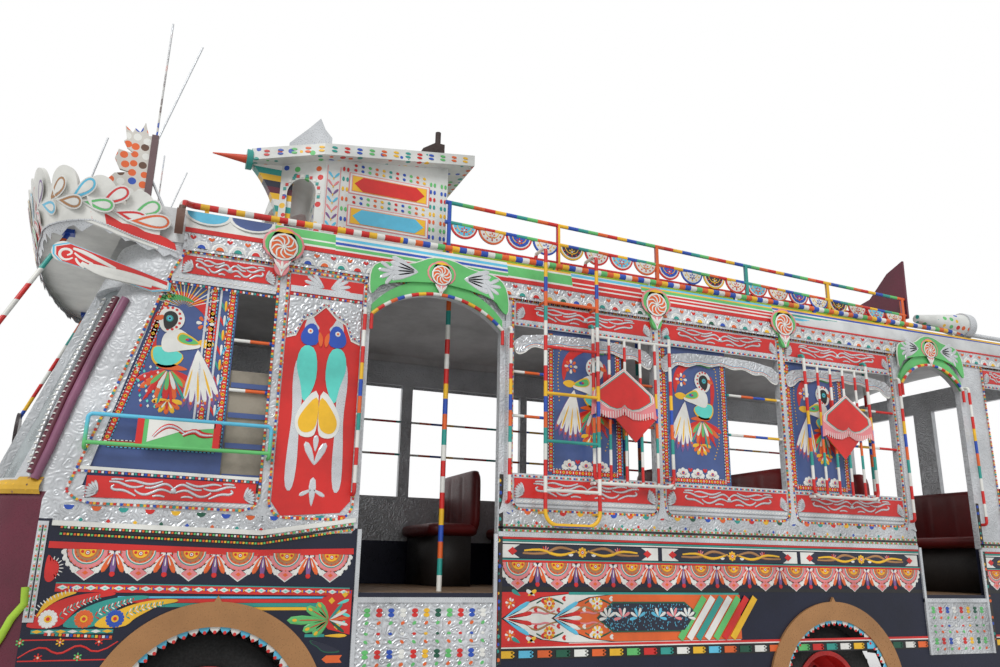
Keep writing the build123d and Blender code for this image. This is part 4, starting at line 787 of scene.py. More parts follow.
class BUS_OT_finishes(bpy.types.Operator):
    """Give every solid of the frame its own finish"""

    bl_idname = "bus.finishes"
    bl_label = "Finishes"

    def execute(self, context):
        chassis = enamel("chassis_black", opaque(38, 34, 32), 0.6, 0.5)
        spring = enamel("spring_steel", opaque(66, 56, 50), 0.6, 0.5, 0.4)
        rubber = enamel("tyre_rubber", opaque(34, 34, 34), 0.82, 0.4)
        body = zoned("body_ground", [(0, paint_colour("navy")), (1.5, SILVER)], 0.36, 0.3, 0.35)
        cowl = zoned("cowl_ground", [(0, paint_colour("maroon")), (1.64, SILVER)], 0.3, emboss=0.3)
        glass, tree, shader = blank("glass")
        place = wire(tree, "TexCoord").outputs["Object"]
        dust = noise(tree, place, 3.4, 7.0, 0.68)
        tree.links.new(ramp(tree, dust, [(0.38, grey(0.06)), (0.64, grey(0.45))]), shader.inputs["Roughness"])
        clear = ramp(tree, dust, [(0.38, grey(0.74)), (0.62, grey(0.22))])
        tree.links.new(clear, shader.inputs["Transmission Weight"])
        shader.inputs["Base Color"].default_value = (0.4, 0.45, 0.46, 1.0)
        chrome = enamel("lamp_chrome", opaque(214, 214, 214), 0.16, 0.2, 0.95)
        wood = enamel("floor_wood", opaque(120, 92, 64), 0.7, 0.4)
        vinyl = enamel("seat_vinyl", opaque(112, 26, 26), 0.45, 0.3)
        table = {
            chassis: ["chassis_frame", "front_axle", "rear_axle", "knuckle_left", "knuckle_right", "bumpers"],
            spring: ["leaf_springs", "propeller_shaft", "exhaust"],
            enamel("engine_grey", opaque(92, 96, 92), 0.6, 0.5, 0.3): ["engine"],
            enamel("tank_grey", opaque(70, 72, 76), 0.45, 0.4): ["fuel_tank"],
            rubber: ["tyre_front_left", "tyre_front_right", "tyres_rear_left", "tyres_rear_right"],
            enamel("rim_red", paint_colour("red"), 0.4, 0.4): [
                "wheel_front_left", "wheel_front_right", "wheels_rear_left", "wheels_rear_right"
            ],
            wood: ["floor"],
            body: ["side_wall_left", "side_wall_right", "rear_wall", "drivers_door"],
            cowl: ["front_wall"],
            enamel("roof_white", opaque(206, 208, 208), 0.5, 0.3): ["roof"],
            glass: ["windscreen"],
            "bands_x": ["window_bars"],
            "bands_z": ["grab_poles", "roof_ladder"],
            vinyl: ["passenger_seats", "driver_seat"],
            enamel("dash_brown", opaque(70, 54, 44), 0.6, 0.4): ["dashboard"],
            enamel("wheel_black", opaque(24, 24, 24), 0.4, 0.2): ["steering_wheel"],
            chrome: ["lamps"],
            enamel("arch_gold", paint_colour("gold"), 0.32, 0.2, 0.35): ["arch_mouldings"],
        }
        for finish, nodes in table.items():
            for node in nodes:
                dress(node, finish)
        upper_parts()
        return {"FINISHED"}


def half_rosette(piece, place, radius):
    """Half rosette that hangs from a line, with a lace point."""
    relief = sizes().relief
    fan(piece, place, 11, 98, 262, radius * 0.72, radius * 0.36, radius * 0.26, ["white"], relief)
    point = turned(place, 180, radius)
    rings(
        piece, "diamond", point, (radius * 0.46, radius * 0.34),
        [(1.0, "white"), (0.88, "pink"), (0.3, "orange")], relief
    )
    for way in (1, -1):
        piece.dots(turned(place, 180 + way * 27, radius * 1.04), [("white", radius * 0.09, relief * 1.2)])
    rows = [(1.0, "white"), (0.93, "navy"), (0.9, "pink"), (0.72, "teal"), (0.67, "white"), (0.63, "orange")]
    rows += [(0.55, "gold"), (0.42, "orange"), (0.38, "yellow")]
    rings(piece, "half_disc", place, (radius, radius), rows, relief)
    fan(piece, place, 11, 97, 263, radius * 0.76, radius * 0.08, radius * 0.09, ["orange"], relief * 3)
    fan(piece, place, 7, 104, 256, radius * 0.46, radius * 0.05, radius * 0.05, ["red", "blue"], relief * 7)
    for way in (1, -1):
        piece.dots(turned(place, 180 + way * 66, radius * 0.24), [("red", radius * 0.07, relief * 7)])
    hub = [("red", 0.12, 6.6), ("white", 0.08, 7.2), ("navy", 0.03, 7.8)]
    piece.dots(turned(place, 180, radius * 0.14), [(tone, radius * r, relief * d) for tone, r, d in hub])


def lily(piece, place, radius):
    """Lily fan between two rosettes, its point at the line above."""
    relief = sizes().relief
    paints = ["red", "orange", "purple", "orange", "red"]
    fan(piece, place, 5, 132, 228, radius * 0.1, radius * 0.78, radius * 0.24, paints, relief * 1.5)
    fan(piece, place, 5, 140, 220, radius * 0.2, radius * 0.4, radius * 0.06, ["white"], relief * 2.2)
    piece.dots(turned(place, 180, radius * 0.86), [("red", radius * 0.1, relief * 2)])


def rear_belt():
    """Lines and half rosettes across the rear wall, in line with those of the sides."""
    piece = Piece("belt_rear")
    base = Matrix(((0, 0, -1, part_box("rear_wall")[0].x), (-1, 0, 0, 0), (0, 1, 0, 0), (0, 0, 0, 1)))
    half = 1.16
    for z, height, paint, deep in [
        (1.5, 0.03, "foil", 0.01),
        (1.482, 0.022, "red", 0.006),
        (1.462, 0.01, "teal", 0.005),
        (LOZENGE_Z, 0.082, "white", 0.002),
        (1.345, 0.008, "teal", 0.005),
        (1.335, 0.012, "red", 0.006),
    ]:
        piece.put("block", moved(base, 0, z), paint, (2 * half, height, deep))
    for y in spaced(-half, half, 0.58):
        diamond = moved(base, y, LOZENGE_Z, 0.002)
        rings(piece, "diamond", diamond, (0.27, 0.036), [(1.0, "navy"), (0.6, "gold"), (0.5, "navy")], 0.002)
        flower(piece, lifted(diamond, 0.005), 0.03, ["yellow"], ("orange", "white"), 8)
    places = spaced(-half, half, sizes().rosette_pitch)
    for y in places:
        half_rosette(piece, moved(base, y, ROSETTE_Z, 0.001), 0.124)
    for first, second in zip(places, places[1:]):
        lily(piece, moved(base, (first + second) / 2, ROSETTE_Z, 0.001), 0.15)
    piece.done()


def aft_lines(piece, side, front, rear):
    """Level lines from the sill down to the skirt."""
    rows = [
        (1.5, 0.03, "foil", 0.01),
        (1.482, 0.022, "red", 0.006),
        (1.462, 0.01, "teal", 0.005),
        (1.45, 0.008, "white", 0.005),
        (1.345, 0.008, "teal", 0.005),
        (1.335, 0.012, "red", 0.006),
        (1.168, 0.026, "black", 0.002),
        (0.829, 0.016, "red", 0.006),
        (0.818, 0.008, "white", 0.007),
        (0.779, 0.06, "black", 0.003),
    ]
    for z, height, paint, deep in rows:
        strip(piece, side, front, rear, z, height, paint, 0, deep)
    beads(piece, side, [(front, 1.556), (rear, 1.556)], ["orange", "white", "green"], 0.002, 0.011)
    strip(piece, side, front, rear, 1.54, 0.012, "black", 0, 0.008)
    beads(piece, side, [(front, 1.524), (rear, 1.524)], ["green", "orange", "white"], 0.002, 0.011)
    paints = [
        "yellow", "sky", "orange", "forest", "white", "orange", "yellow", "green", "red", "teal", "white"
    ]
    for i, x in enumerate(spaced(front, rear, 0.128)):
        place = on_side(side, x, 0.779, 0.003)
        piece.put("block", place, paints[i % len(paints)], (0.088, 0.042, 0.003))
        for way in (1, -1):
            leaf = moved(place, 0.044 * side, way * 0.0105)
            piece.put("diamond", leaf, paints[i % len(paints)], (0.016, 0.0105, 0.003))


def front_lines(piece, side):
    """Lines ahead of the front doorway, the belt rising towards it."""
    for z, height, paint, deep in [(1.482, 0.026, "white", 0.01), (1.372, 0.034, "red", 0.005)]:
        strip(piece, side, 3.66, 2.6, z, height, paint, 0, deep, z1=z - 0.02)
        strip(piece, side, 2.6, 2.06, z - 0.02, height, paint, 0, deep, z1=z + (0.07 if z > 1.4 else 0))
    for drop, mix in ((0, ["orange", "green", "white"]), (0.034, ["green", "orange", "yellow"])):
        path = [(3.62, 1.462 - drop), (2.6, 1.436 - drop), (2.07, 1.53 - drop)]
        beads(piece, side, path, mix, 0.004, 0.011)
    strip(piece, side, 3.62, 2.6, 1.446, 0.012, "black", 0, 0.009, z1=1.42)
    strip(piece, side, 2.6, 2.07, 1.42, 0.012, "black", 0, 0.009, z1=1.513)
    strip(piece, side, 3.6, 2.07, 1.16, 0.042, "red", 0, 0.003, z1=1.142)
    strip(piece, side, 3.6, 2.07, 1.182, 0.006, "teal", 0, 0.004, z1=1.164)
    for i, x in enumerate(spaced(3.6, 2.07, 0.066)):
        spot = on_side(side, x, 1.16 - 0.018 * (3.6 - x) / 1.53, 0.003)
        piece.put("diamond", spot, "white", (0.027, 0.013, 0.002))
        piece.put("diamond", spot, "aqua", (0.012, 0.005, 0.003))
        for way in (0.028, 0.038):
            tone = "blue" if (i + (way > 0.03)) % 2 else "yellow"
            piece.put("block", moved(spot, way, 0), tone, (0.006, 0.013, 0.002))
    beads(piece, side, [(3.62, 0.933), (3.3, 0.915)], BEAD_MIX, 0.003)


def rosettes(piece, side, front, rear, z):
    """Half rosettes in a row, with lilies between."""
    pitch = sizes().rosette_pitch
    places = spaced(front, rear, pitch)
    step = abs(places[1] - places[0]) if len(places) > 1 else pitch
    for x in places:
        half_rosette(piece, on_side(side, x, z, 0.001), step * 0.46)
    for first, second in zip(places, places[1:]):
        lily(piece, on_side(side, (first + second) / 2, z, 0.001), step * 0.56)


def lozenge(piece, side, x, half):
    """Navy lozenge with scrolls and a flower, between white blocks."""
    relief = sizes().relief
    place = on_side(side, x, LOZENGE_Z)
    piece.put("block", place, "white", (2 * half + 0.13, 0.082, relief))
    piece.add(cutout(pointed(half, 0.07, 0.041), relief * 2, False), place, "navy")
    for way in (1, -1):
        tip = moved(place, way * (half - 0.02), 0, relief)
        piece.put("diamond", tip, "red", (0.034, 0.026, relief * 2))
    curls = [
        [(0.03, 0), (0.12, 0.03), (0.2, 0.026), (0.27, -0.02), (half - 0.09, -0.012)],
        [(0.04, 0.01), (0.13, -0.022), (0.22, -0.016), (0.3, 0.02), (half - 0.1, 0.004)],
    ]
    for number, points in enumerate(curls):
        for way in (1, -1):
            piece.add(
                stroke(flipped(points, way), 0.02, 0.3), lifted(place, relief * 2),
                ("gold", "yellow")[number]
            )
    for way in (1, -1):
        spray = moved(place, way * 0.27, 0, relief * 2)
        fan(piece, spray, 4, -60 * way, 40 * way, 0.004, 0.034, 0.01, ["pink", "red", "pink"], relief)
        puff = moved(place, way * 0.085, -0.026, relief * 2)
        fan(piece, puff, 3, -50, 50, 0, 0.022, 0.014, ["white"], relief)
    heart = lifted(place, relief * 2.4)
    fan(piece, heart, 8, 0, 315, 0.008, 0.026, 0.022, ["yellow"], relief)
    rows = [("orange", 0.016, 1.6), ("white", 0.01, 2.0), ("navy", 0.005, 2.4)]
    piece.dots(heart, [(tone, radius, relief * deep) for tone, radius, deep in rows])


class BUS_OT_belt(bpy.types.Operator):
    """Make the painted belt below the windows on both sides"""

    bl_idname = "bus.belt"
    bl_label = "Belt bands"

    def execute(self, context):
        for side, word in SIDES:
            lines = Piece("belt_lines_" + word)
            flowers = Piece("belt_rosettes_" + word)
            panels = Piece("belt_lozenges_" + word)
            fields = KERB_WALLS if side == LEFT else ROAD_WALLS
            for front, rear in fields:
                aft_lines(lines, side, front, rear)
                rosettes(flowers, side, front, rear, ROSETTE_Z)
                for middle in spaced(front, rear, 1.17):
                    lozenge(panels, side, middle, 0.52 if front - rear > 1.2 else 0.42)
            if side == LEFT:
                front_lines(lines, side)
                rosettes(flowers, side, 3.6, 2.06, 1.352)
            lines.done()
            flowers.done()
            panels.done()
        rear_belt()
        return {"FINISHED"}


def scroll_panel(piece, side, front, rear, z, height):
    """Red panel with embossed silver scrolls and a shell fan at each end."""
    half = (front - rear) / 2
    place = on_side(side, (front + rear) / 2, z, 0.002)
    piece.put("block", place, "red", (2 * half, height, 0.003))
    width = sizes().scroll
    unit = height / 2
    curls = [
        [(0, 0.1), (0.05, 0.45), (0.12, 0.55), (0.2, 0.25), (0.27, 0.05), (0.34, 0.1)],
        [(0.02, -0.3), (0.09, -0.05), (0.17, 0), (0.25, -0.35), (0.33, -0.6), (0.42, -0.45), (0.46, -0.15)],
        [(0.14, 0.75), (0.22, 0.5), (0.31, 0.4), (0.4, 0.55), (0.5, 0.75), (0.58, 0.6)],
        [(0.36, 0.25), (0.44, 0.05), (0.53, 0.12), (0.6, 0.35), (0.68, 0.55), (0.76, 0.5)],
        [(0.44, -0.72), (0.52, -0.4), (0.6, -0.2), (0.7, -0.25), (0.74, 0.05), (0.7, 0.2)],
        [(0.1, -0.7), (0.17, -0.5), (0.24, -0.7)],
        [(0.6, 0.75), (0.68, 0.8), (0.74, 0.72)],
    ]
    for points in curls:
        for way in (1, -1):
            shaped = [(way * x * half * 0.98, y * unit) for x, y in points]
            piece.add(stroke(shaped, width), lifted(place, 0.004), "foil")
    for way in (1, -1):
        shell = moved(place, way * (half - unit * 1.15), -unit * 0.55, 0.003)
        fan(piece, shell, 7, -20 * way, -112 * way, 0.005, unit * 1.15, unit * 0.36, ["foil"], 0.008)
    piece.put("dome", moved(place, 0, -unit * 0.1, 0.003), "foil", (width, width, 0.01))


def door_piece(side):
    """Scroll panel, jewels, rosettes and beads on the driver's door."""
    low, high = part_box("drivers_door")
    front, rear = high.x - 0.03, low.x + 0.03
    piece = Piece("door_ornaments")
    scroll_panel(piece, side, front - 0.02, rear + 0.02, 1.7, 0.12)
    jewels(piece, side, [(front, 1.6), (rear, 1.6)])
    beads(piece, side, rounded_frame(front, rear, low.z + 0.04, high.z - 0.03, 0.08), BEAD_MIX, 0.003)
    for z, height, paint in ((1.462, 0.022, "red"), (1.44, 0.01, "teal")):
        strip(piece, side, front - 0.02, rear + 0.02, z, height, paint, 0, 0.005)
    for x in spaced(front - 0.02, rear + 0.02, 0.2):
        half_rosette(piece, on_side(side, x, 1.43, 0.001), 0.09)
    piece.done("drivers_door_body")


def window_bay(frames, scrolls, side, front, rear):
    """One bay from its bottom bead to the bead above its head panel."""
    outer = rounded_frame(front + 0.012, rear - 0.012, FRAME_FOOT_Z, FRIEZE_Z)
    beads(frames, side, outer, BEAD_MIX, 0.004)
    scroll_panel(scrolls, side, front - 0.012, rear + 0.012, SILL_PANEL_Z, 0.125)
    scroll_panel(scrolls, side, front - 0.012, rear + 0.012, HEAD_PANEL_Z, 0.115)
    for z, height, deep in ((1.712, 0.026, 0.006), (2.925, 0.02, 0.005)):
        strip(frames, side, front - 0.02, rear + 0.02, z, height, "foil", 0.002, deep)
    for x in spaced(front - 0.03, rear + 0.03, 0.03):
        frames.put("petal", on_side(side, x, 1.704, 0.007, -62), "white", (0.01, 0.026, 0.004))
    for z in (1.872, 2.902):
        strip(frames, side, front, rear, z, 0.026, "foil", 0.001, 0.005)
        beads(frames, side, [(front - 0.01, z), (rear + 0.01, z)], LINE_MIX, 0.006, 0.011)
    strip(frames, side, front - 0.01, rear + 0.01, 1.682, 0.016, "foil", 0.002, 0.008)


def front_bay(frames, scrolls, side):
    """First window, whose front edge is raked."""
    path = [
        (3.62, 1.65), (3.57, 1.61), (3.5, 1.59), (2.72, 1.58), (2.655, 1.6), (2.63, 1.66), (2.63, 3.04),
        (2.66, 3.072)
    ]
    beads(frames, side, path, BEAD_MIX, 0.004)
    beads(frames, side, [
        (3.62, 1.65), (3.6, 1.72), (3.24, 2.94), (3.19, 3.05), (3.13, 3.085), (2.66, 3.072)
    ], BEAD_MIX, 0.004)
    scroll_panel(scrolls, side, 3.53, 2.65, 1.678, 0.115)
    scroll_panel(scrolls, side, 3.19, 2.65, HEAD_PANEL_Z, 0.11)
    beads(frames, side, [(3.58, 1.757), (2.64, 1.742)], LINE_MIX, 0.006, 0.012)
    strip(frames, side, 3.57, 2.64, 1.775, 0.018, "white", 0, 0.008, z1=1.76)
    strip(frames, side, 3.55, 2.65, 1.605, 0.02, "foil", 0, 0.008)
    strip(frames, side, 3.24, 2.64, 2.905, 0.045, "foil", 0, 0.004)
    for x in spaced(3.24, 2.64, 0.03):
        frames.put("petal", on_side(side, x, 2.9, 0.004, -62), "white", (0.01, 0.026, 0.004))
        frames.put("petal", on_side(side, x, 1.6, 0.008, -62), "white", (0.01, 0.026, 0.004))
    beads(frames, side, [(3.25, 2.872), (2.64, 2.86)], LINE_MIX, 0.006, 0.012)


def jewels(piece, side, path):
    """Embossed tin strip along (x, z) points, with jewels in half rings and diamonds between."""
    for (x0, z0), (x1, z1) in zip(path, path[1:]):
        strip(piece, side, x0, x1, z0 - 0.05, 0.105, "silver", 0, 0.003, z1=z1 - 0.05)
        for i, x in enumerate(spaced(x0, x1, 0.13)):
            z = z0 + (z1 - z0) * (x - x0) / (x1 - x0)
            rows = [(1.0, "foil"), (0.86, "silver"), (0.72, "foil"), (0.56, "silver"), (0.46, JEWELS[i % 6])]
            rings(piece, "half_disc", on_side(side, x, z, 0.003), (0.06, 0.06), rows, 0.002)
            spot = on_side(side, x - 0.065, z - 0.075, 0.003)
            rings(piece, "diamond", spot, (0.022, 0.022), [(1.0, "foil"), (0.6, JEWELS[(i + 2) % 6])], 0.003)


def valance(piece, side, front, rear):
    """Silver valance with a waved lower edge across the head of an opening."""
    half = (front - rear) / 2
    place = on_side(side, (front + rear) / 2, 2.862, -0.002)
    wave = [
        (-1, 0), (-1, -0.165), (-0.86, -0.155), (-0.74, -0.09), (-0.56, -0.115), (-0.38, -0.07),
        (-0.2, -0.095), (0, -0.06)
    ]
    points = [(half * x, z) for x, z in wave]
    outline = whole(points)
    piece.add(cutout([(x, z * 1.08) for x, z in outline], 0.004), place, "white")
    piece.add(cutout(outline, 0.006), place, "silver")
    for way in (1, -1):
        for paint, drop in (("sky", 0.03), ("orange", 0.045), ("white", 0.06)):
            line = [(way * half * x, z * 0.7 - drop * 0.3) for x, z in wave[2:]]
            piece.add(stroke(line, 0.006, 0.3), lifted(place, 0.006), paint)


def pillar(piece, side, x):
    """Flat cap of a pillar with a flared foot."""
    strip(piece, side, x + 0.016, x - 0.016, 2.38, 1.32, "foil", 0, 0.01)
    foot = [
        (-0.06, -0.14), (-0.022, -0.06), (-0.014, 0.06), (0.014, 0.06), (0.022, -0.06), (0.06, -0.14),
        (0, -0.1)
    ]
    piece.add(cutout(foot, 0.012), on_side(side, x, 1.75), "foil")


class BUS_OT_sills(bpy.types.Operator):
    """Make the window frames of beads with their sill and head panels"""

    bl_idname = "bus.sills"
    bl_label = "Window frames"

    def execute(self, context):
        for side, word in SIDES:
            frames = Piece("window_frames_" + word)
            scrolls = Piece("scroll_panels_" + word)
            kerb = side == LEFT
            for front, rear in BAYS if kerb else ROAD_BAYS:
                window_bay(frames, scrolls, side, front, rear)
            if kerb:
                front_bay(frames, scrolls, side)
                window_bay(frames, scrolls, side, *REAR_BAY)
                jewels(frames, side, [(3.66, 1.578), (2.6, 1.553), (2.08, 1.578)])
            else:
                door_piece(side)
            front, rear = (1.13, -2.45) if kerb else (2.58, -4.17)
            jewels(frames, side, [(front, 1.65), (rear, 1.65)])
            for x in PILLARS if kerb else ROAD_PILLARS:
                pillar(frames, side, x)
            for front, rear in BAYS if kerb else []:
                valance(frames, side, front, rear)
            frames.done()
            scrolls.done()
        return {"FINISHED"}


# Half of the twin birds, in metres from the middle of the panel's foot: paint, thickness and outline
TWIN_BIRD = [
    ("foil", 1, [
        (0.155, 0.95), (0.17, 0.8), (0.15, 0.6), (0.165, 0.4), (0.17, 0.16), (0.12, 0.13), (0.1, 0.3),
        (0.11, 0.55), (0.1, 0.72), (0.12, 0.9)
    ]),
    ("aqua", 1.6, [
        (0.04, 1.02), (0.13, 1.03), (0.16, 0.9), (0.115, 0.78), (0.1, 0.66), (0.055, 0.72), (0.02, 0.84)
    ]),
    ("blue", 2.2, [(0.02, 1.03), (0.12, 1.02), (0.15, 1.08), (0.1, 1.17), (0.04, 1.16)]),
    ("orange", 2.6, [(0.035, 1.13), (0, 1.08), (0.012, 1.01), (0.035, 1.05)]),
    ("yellow", 2.4, [(0, 0.74), (0.08, 0.64), (0.125, 0.56), (0.1, 0.49), (0.04, 0.49), (0, 0.54)]),
    ("white", 1.9, [(0, 0.79), (0.1, 0.67), (0.145, 0.56), (0.11, 0.465), (0.03, 0.46), (0, 0.5)]),
    ("foil", 0.8, [(0.02, 1.14), (0.05, 1.16), (0.09, 1.25), (0.13, 1.13), (0.1, 1.05)]),
]

# Bird facing the rear, in metres from the foot of its board: paint, layer and outline
BIRD = [
    ("red", 1, [
        (-0.17, 0.62), (-0.19, 0.78), (-0.1, 0.9), (0.06, 0.95), (0.15, 0.9), (0.05, 0.9), (-0.08, 0.84),
        (-0.14, 0.74)
    ]),
    ("green", 2, [(-0.06, 0.87), (0.04, 0.89), (0.17, 0.86), (0.14, 0.91), (0.03, 0.92)]),
    ("red", 1, [(0.14, 0.84), (0.19, 0.74), (0.17, 0.6), (0.13, 0.52), (0.15, 0.66)]),
    ("yellow", 1, [(-0.19, 0.64), (-0.12, 0.67), (-0.06, 0.64), (-0.12, 0.6)]),
    ("orange", 2, [(-0.06, 0.475), (0, 0.462), (0.1, 0.462), (0.15, 0.49), (0.05, 0.505)]),
    ("yellow", 2, [(-0.03, 0.55), (0.03, 0.475), (0.12, 0.47), (0.165, 0.52), (0.165, 0.6), (0.06, 0.6)]),
    ("aqua", 3, [(-0.02, 0.56), (0.03, 0.49), (0.12, 0.485), (0.155, 0.53), (0.155, 0.6), (0.06, 0.585)]),
    ("white", 4, [
        (-0.12, 0.61), (0, 0.585), (0.09, 0.555), (0.12, 0.6), (0.11, 0.68), (0.03, 0.72), (-0.05, 0.66)
    ]),
    ("yellow", 5, [(-0.11, 0.625), (-0.01, 0.615), (0.045, 0.645), (0.02, 0.7), (-0.05, 0.67)]),
    ("green", 6, [(-0.1, 0.628), (-0.01, 0.622), (0.035, 0.645), (0.015, 0.688), (-0.05, 0.66)]),
    ("white", 5, [
        (0.02, 0.71), (0.1, 0.67), (0.145, 0.72), (0.15, 0.8), (0.1, 0.845), (0.03, 0.83), (0, 0.77)
    ]),
    ("black", 7, [
        (0.055, 0.72), (0.1, 0.69), (0.12, 0.73), (0.125, 0.79), (0.09, 0.815), (0.05, 0.8), (0.04, 0.76)
    ]),
    ("orange", 6, [(0.12, 0.79), (0.17, 0.765), (0.165, 0.745), (0.12, 0.75)]),
]


def border(piece, side, ends, out):
    """Red strip with yellow diamonds between two rows of dashes, from one (x, z) end to the other."""
    (x0, z0), (x1, z1) = ends
    length = math.hypot(x1 - x0, z1 - z0)
    angle = math.degrees(math.atan2(z1 - z0, (x0 - x1) * side))
    relief = sizes().relief
    middle = on_side(side, (x0 + x1) / 2, (z0 + z1) / 2, out, angle)
    piece.put("block", middle, "navy", (length, 0.046, relief))
    piece.put("block", middle, "red", (length, 0.028, relief * 1.5))
    for number, share in enumerate(spaced(-0.5, 0.5, 0.024 / length)):
        spot = moved(middle, share * length, 0, relief * 1.5)
        if number % 2:
            piece.put("diamond", spot, "yellow", (0.012, 0.012, relief))
            piece.put("diamond", spot, "black", (0.005, 0.005, relief * 1.4))
        else:
            piece.put("block", spot, "white", (0.006, 0.016, relief))
    for way in (0.019, -0.019):
        for share in spaced(-0.5, 0.5, 0.022 / length):
            spot = moved(middle, share * length, way, relief)
            piece.put("block", spot, "white" if way > 0 else "sky", (0.013, 0.005, relief))


def flower(piece, place, radius, petals, heart=("white", "orange"), count=10):
    """Round flower of petals with a heart of two rings."""
    relief = sizes().relief
    fan(piece, place, count, 0, 360 - 360 / count, radius * 0.3, radius * 0.7, radius * 0.5, petals, relief)
    piece.dots(place, [(heart[0], radius * 0.42, relief * 1.4), (heart[1], radius * 0.22, relief * 1.9)])


def bird_board(piece, front, rear, lean=0):
    """Painted board: a bird with a long tail, sprays, flowers and a border on each edge."""
    out = BOARD_Y - SIDE_Y
    relief = sizes().relief
    low, high = SILL_Z + 0.025, HEAD_Z - 0.04
    slope = lean / (HEAD_Z - SILL_Z)
    border(piece, LEFT, ((front - 0.03, low), (front - 0.03 - slope * (high - low), high)), out)
    border(piece, LEFT, ((rear + 0.03, low), (rear + 0.03, high)), out)
    border(piece, LEFT, ((front - 0.04, low), (rear + 0.04, low)), out)
    if lean:
        border(piece, LEFT, ((rear + 0.135, low), (rear + 0.135, high)), out)
        for x in (rear + 0.098, rear + 0.172):
            strip(piece, LEFT, x + 0.006, x - 0.006, (low + high) / 2, high - low, "foil", out, 0.005)
        for i in range(9):
            plume = on_side(LEFT, rear + 0.066, low + 0.1 + i * 0.09, out + relief)
            fan(
                piece, plume, 3, -26, 26, 0, 0.07, 0.018,
                (("orange", "yellow", "teal"), ("sky", "white", "red"))[i % 2], relief
            )
    inner_rear = rear + (0.19 if lean else 0.055)
    middle = (front - 0.055 + inner_rear) / 2 - slope * 0.42
    flip = -1 if lean else 1
    base = on_side(LEFT, middle, SILL_Z, out) @ Matrix.Diagonal((flip, 1, 1, 1))
    for paint, level, points in BIRD:
        piece.add(cutout(points, relief), lifted(base, relief * 0.5 * level), paint)
    eye = moved(base, 0.088, 0.765, relief * 4.5)
    rings(piece, "disc", eye, (0.02, 0.02), [(1.0, "teal"), (0.7, "sky"), (0.34, "black")], relief * 0.5)
    for i in range(9):
        angle = math.radians(70 + i * 26)
        spot = (0.085 + 0.056 * math.cos(angle), 0.765 + 0.066 * math.sin(angle), relief * 3.6)
        piece.dots(moved(base, *spot), [("red", 0.008, relief * 0.5)])
    piece.put("disc", moved(base, -0.03, 0.648, relief * 3.6), "blue", (0.022, 0.012, relief * 0.5))
    piece.put("disc", moved(base, -0.02, 0.65, relief * 4.2), "red", (0.01, 0.006, relief * 0.5))
    tail = moved(base, -0.085, 0.6, relief)
    for i, angle in enumerate((188, 181, 174, 167, 160, 153)):
        plume = turned(tail, angle, 0, relief * 0.25 * i)
        length = 0.37 - 0.014 * abs(i - 2)
        piece.put("petal", plume, "purple", (0.05, length + 0.012, relief))
        piece.put("petal", plume, "white", (0.045, length, relief * 1.3))
        petal = moved(plume, 0, length * 0.3)
        piece.put("petal", petal, ("yellow", "white")[i % 2], (0.018, length * 0.6, relief * 1.7))
        piece.put("disc", moved(plume, 0, length * 0.9), "orange", (0.007, 0.011, relief * 2.2))
    burst = moved(base, 0.06, 0.475, relief * 0.8)
    fan(piece, burst, 9, 118, 242, 0.02, 0.17, 0.045, ["red", "orange"], relief)
    fan(piece, burst, 5, 140, 220, 0.02, 0.12, 0.032, ["green", "white"], relief * 1.6)
    fan(piece, burst, 4, 150, 210, 0.05, 0.18, 0.02, ["teal", "red"], relief * 1.9)
    puff = moved(base, 0.045, 0.29, relief)
    fan(piece, puff, 7, 100, 260, 0, 0.085, 0.034, ["yellow", "orange"], relief)
    fan(piece, puff, 5, 120, 240, 0.01, 0.05, 0.014, ["red", "white"], relief * 1.6)
    star = moved(base, -0.11, 0.76, relief)
    flower(piece, star, 0.052, ["white", "orange"], ("blue", "yellow"), 8)
    for i, x in enumerate(spaced(-0.19, 0.19, 0.128)):
        house = moved(base, x, 0.055, relief)
        fan(piece, house, 5, -78, 78, 0, 0.06, 0.042, ["white"], relief)
        rings(
            piece, "disc", moved(house, 0, 0.022), (0.018, 0.018),
            [(1, "white"), (0.8, "orange"), (0.4, "blue")], relief * 1.4
        )
        if i < 2:
            heart = moved(base, x + 0.064, 0.085, relief)
            fan(piece, heart, 2, -26, 26, 0, 0.032, 0.02, ["red"], relief)
    if lean:
        spray = moved(base, 0.02, 0.84, relief)
        for i in range(17):
            angle = -78 + i * 9.2
            plume = turned(spray, angle, 0.02)
            piece.put("petal", plume, "yellow" if i % 2 else "white", (0.008, 0.17, relief))
            piece.put(
                "petal", moved(plume, 0, 0.15), "red" if i % 2 else "white", (0.014, 0.035, relief * 1.5)
            )
        for row in range(4):
            for i in range(9):
                spot = moved(base, 0.12 + row * 0.036 - i * 0.006, 0.47 - i * 0.028, relief)
                piece.put("diamond", spot, ("aqua", "white", "red")[(i + row) % 3], (0.008, 0.011, relief))
    else:
        dots = [
            (-0.2, 0.5), (-0.215, 0.7), (-0.2, 0.86), (-0.1, 0.945), (0.1, 0.955), (0.2, 0.86), (0.215, 0.6),
            (0.2, 0.3), (0.15, 0.18)
        ]
        for (x0, z0), (x1, z1) in zip(dots, dots[1:]):
            for share in spaced(0, 1, 0.024 / math.hypot(x1 - x0, z1 - z0)):
                spot = moved(base, x0 + (x1 - x0) * share, z0 + (z1 - z0) * share, relief * 0.6)
                piece.put("diamond", spot, "yellow", (0.006, 0.006, relief))


# Boards in the windows, front x and rear x, and the one beside the front doorway with its lean
BOARDS = [(0.79, 0.2), (-0.1253, -0.71), (-1.2753, -1.86)]
FRONT_BOARD = (3.5, 2.855, 0.27)


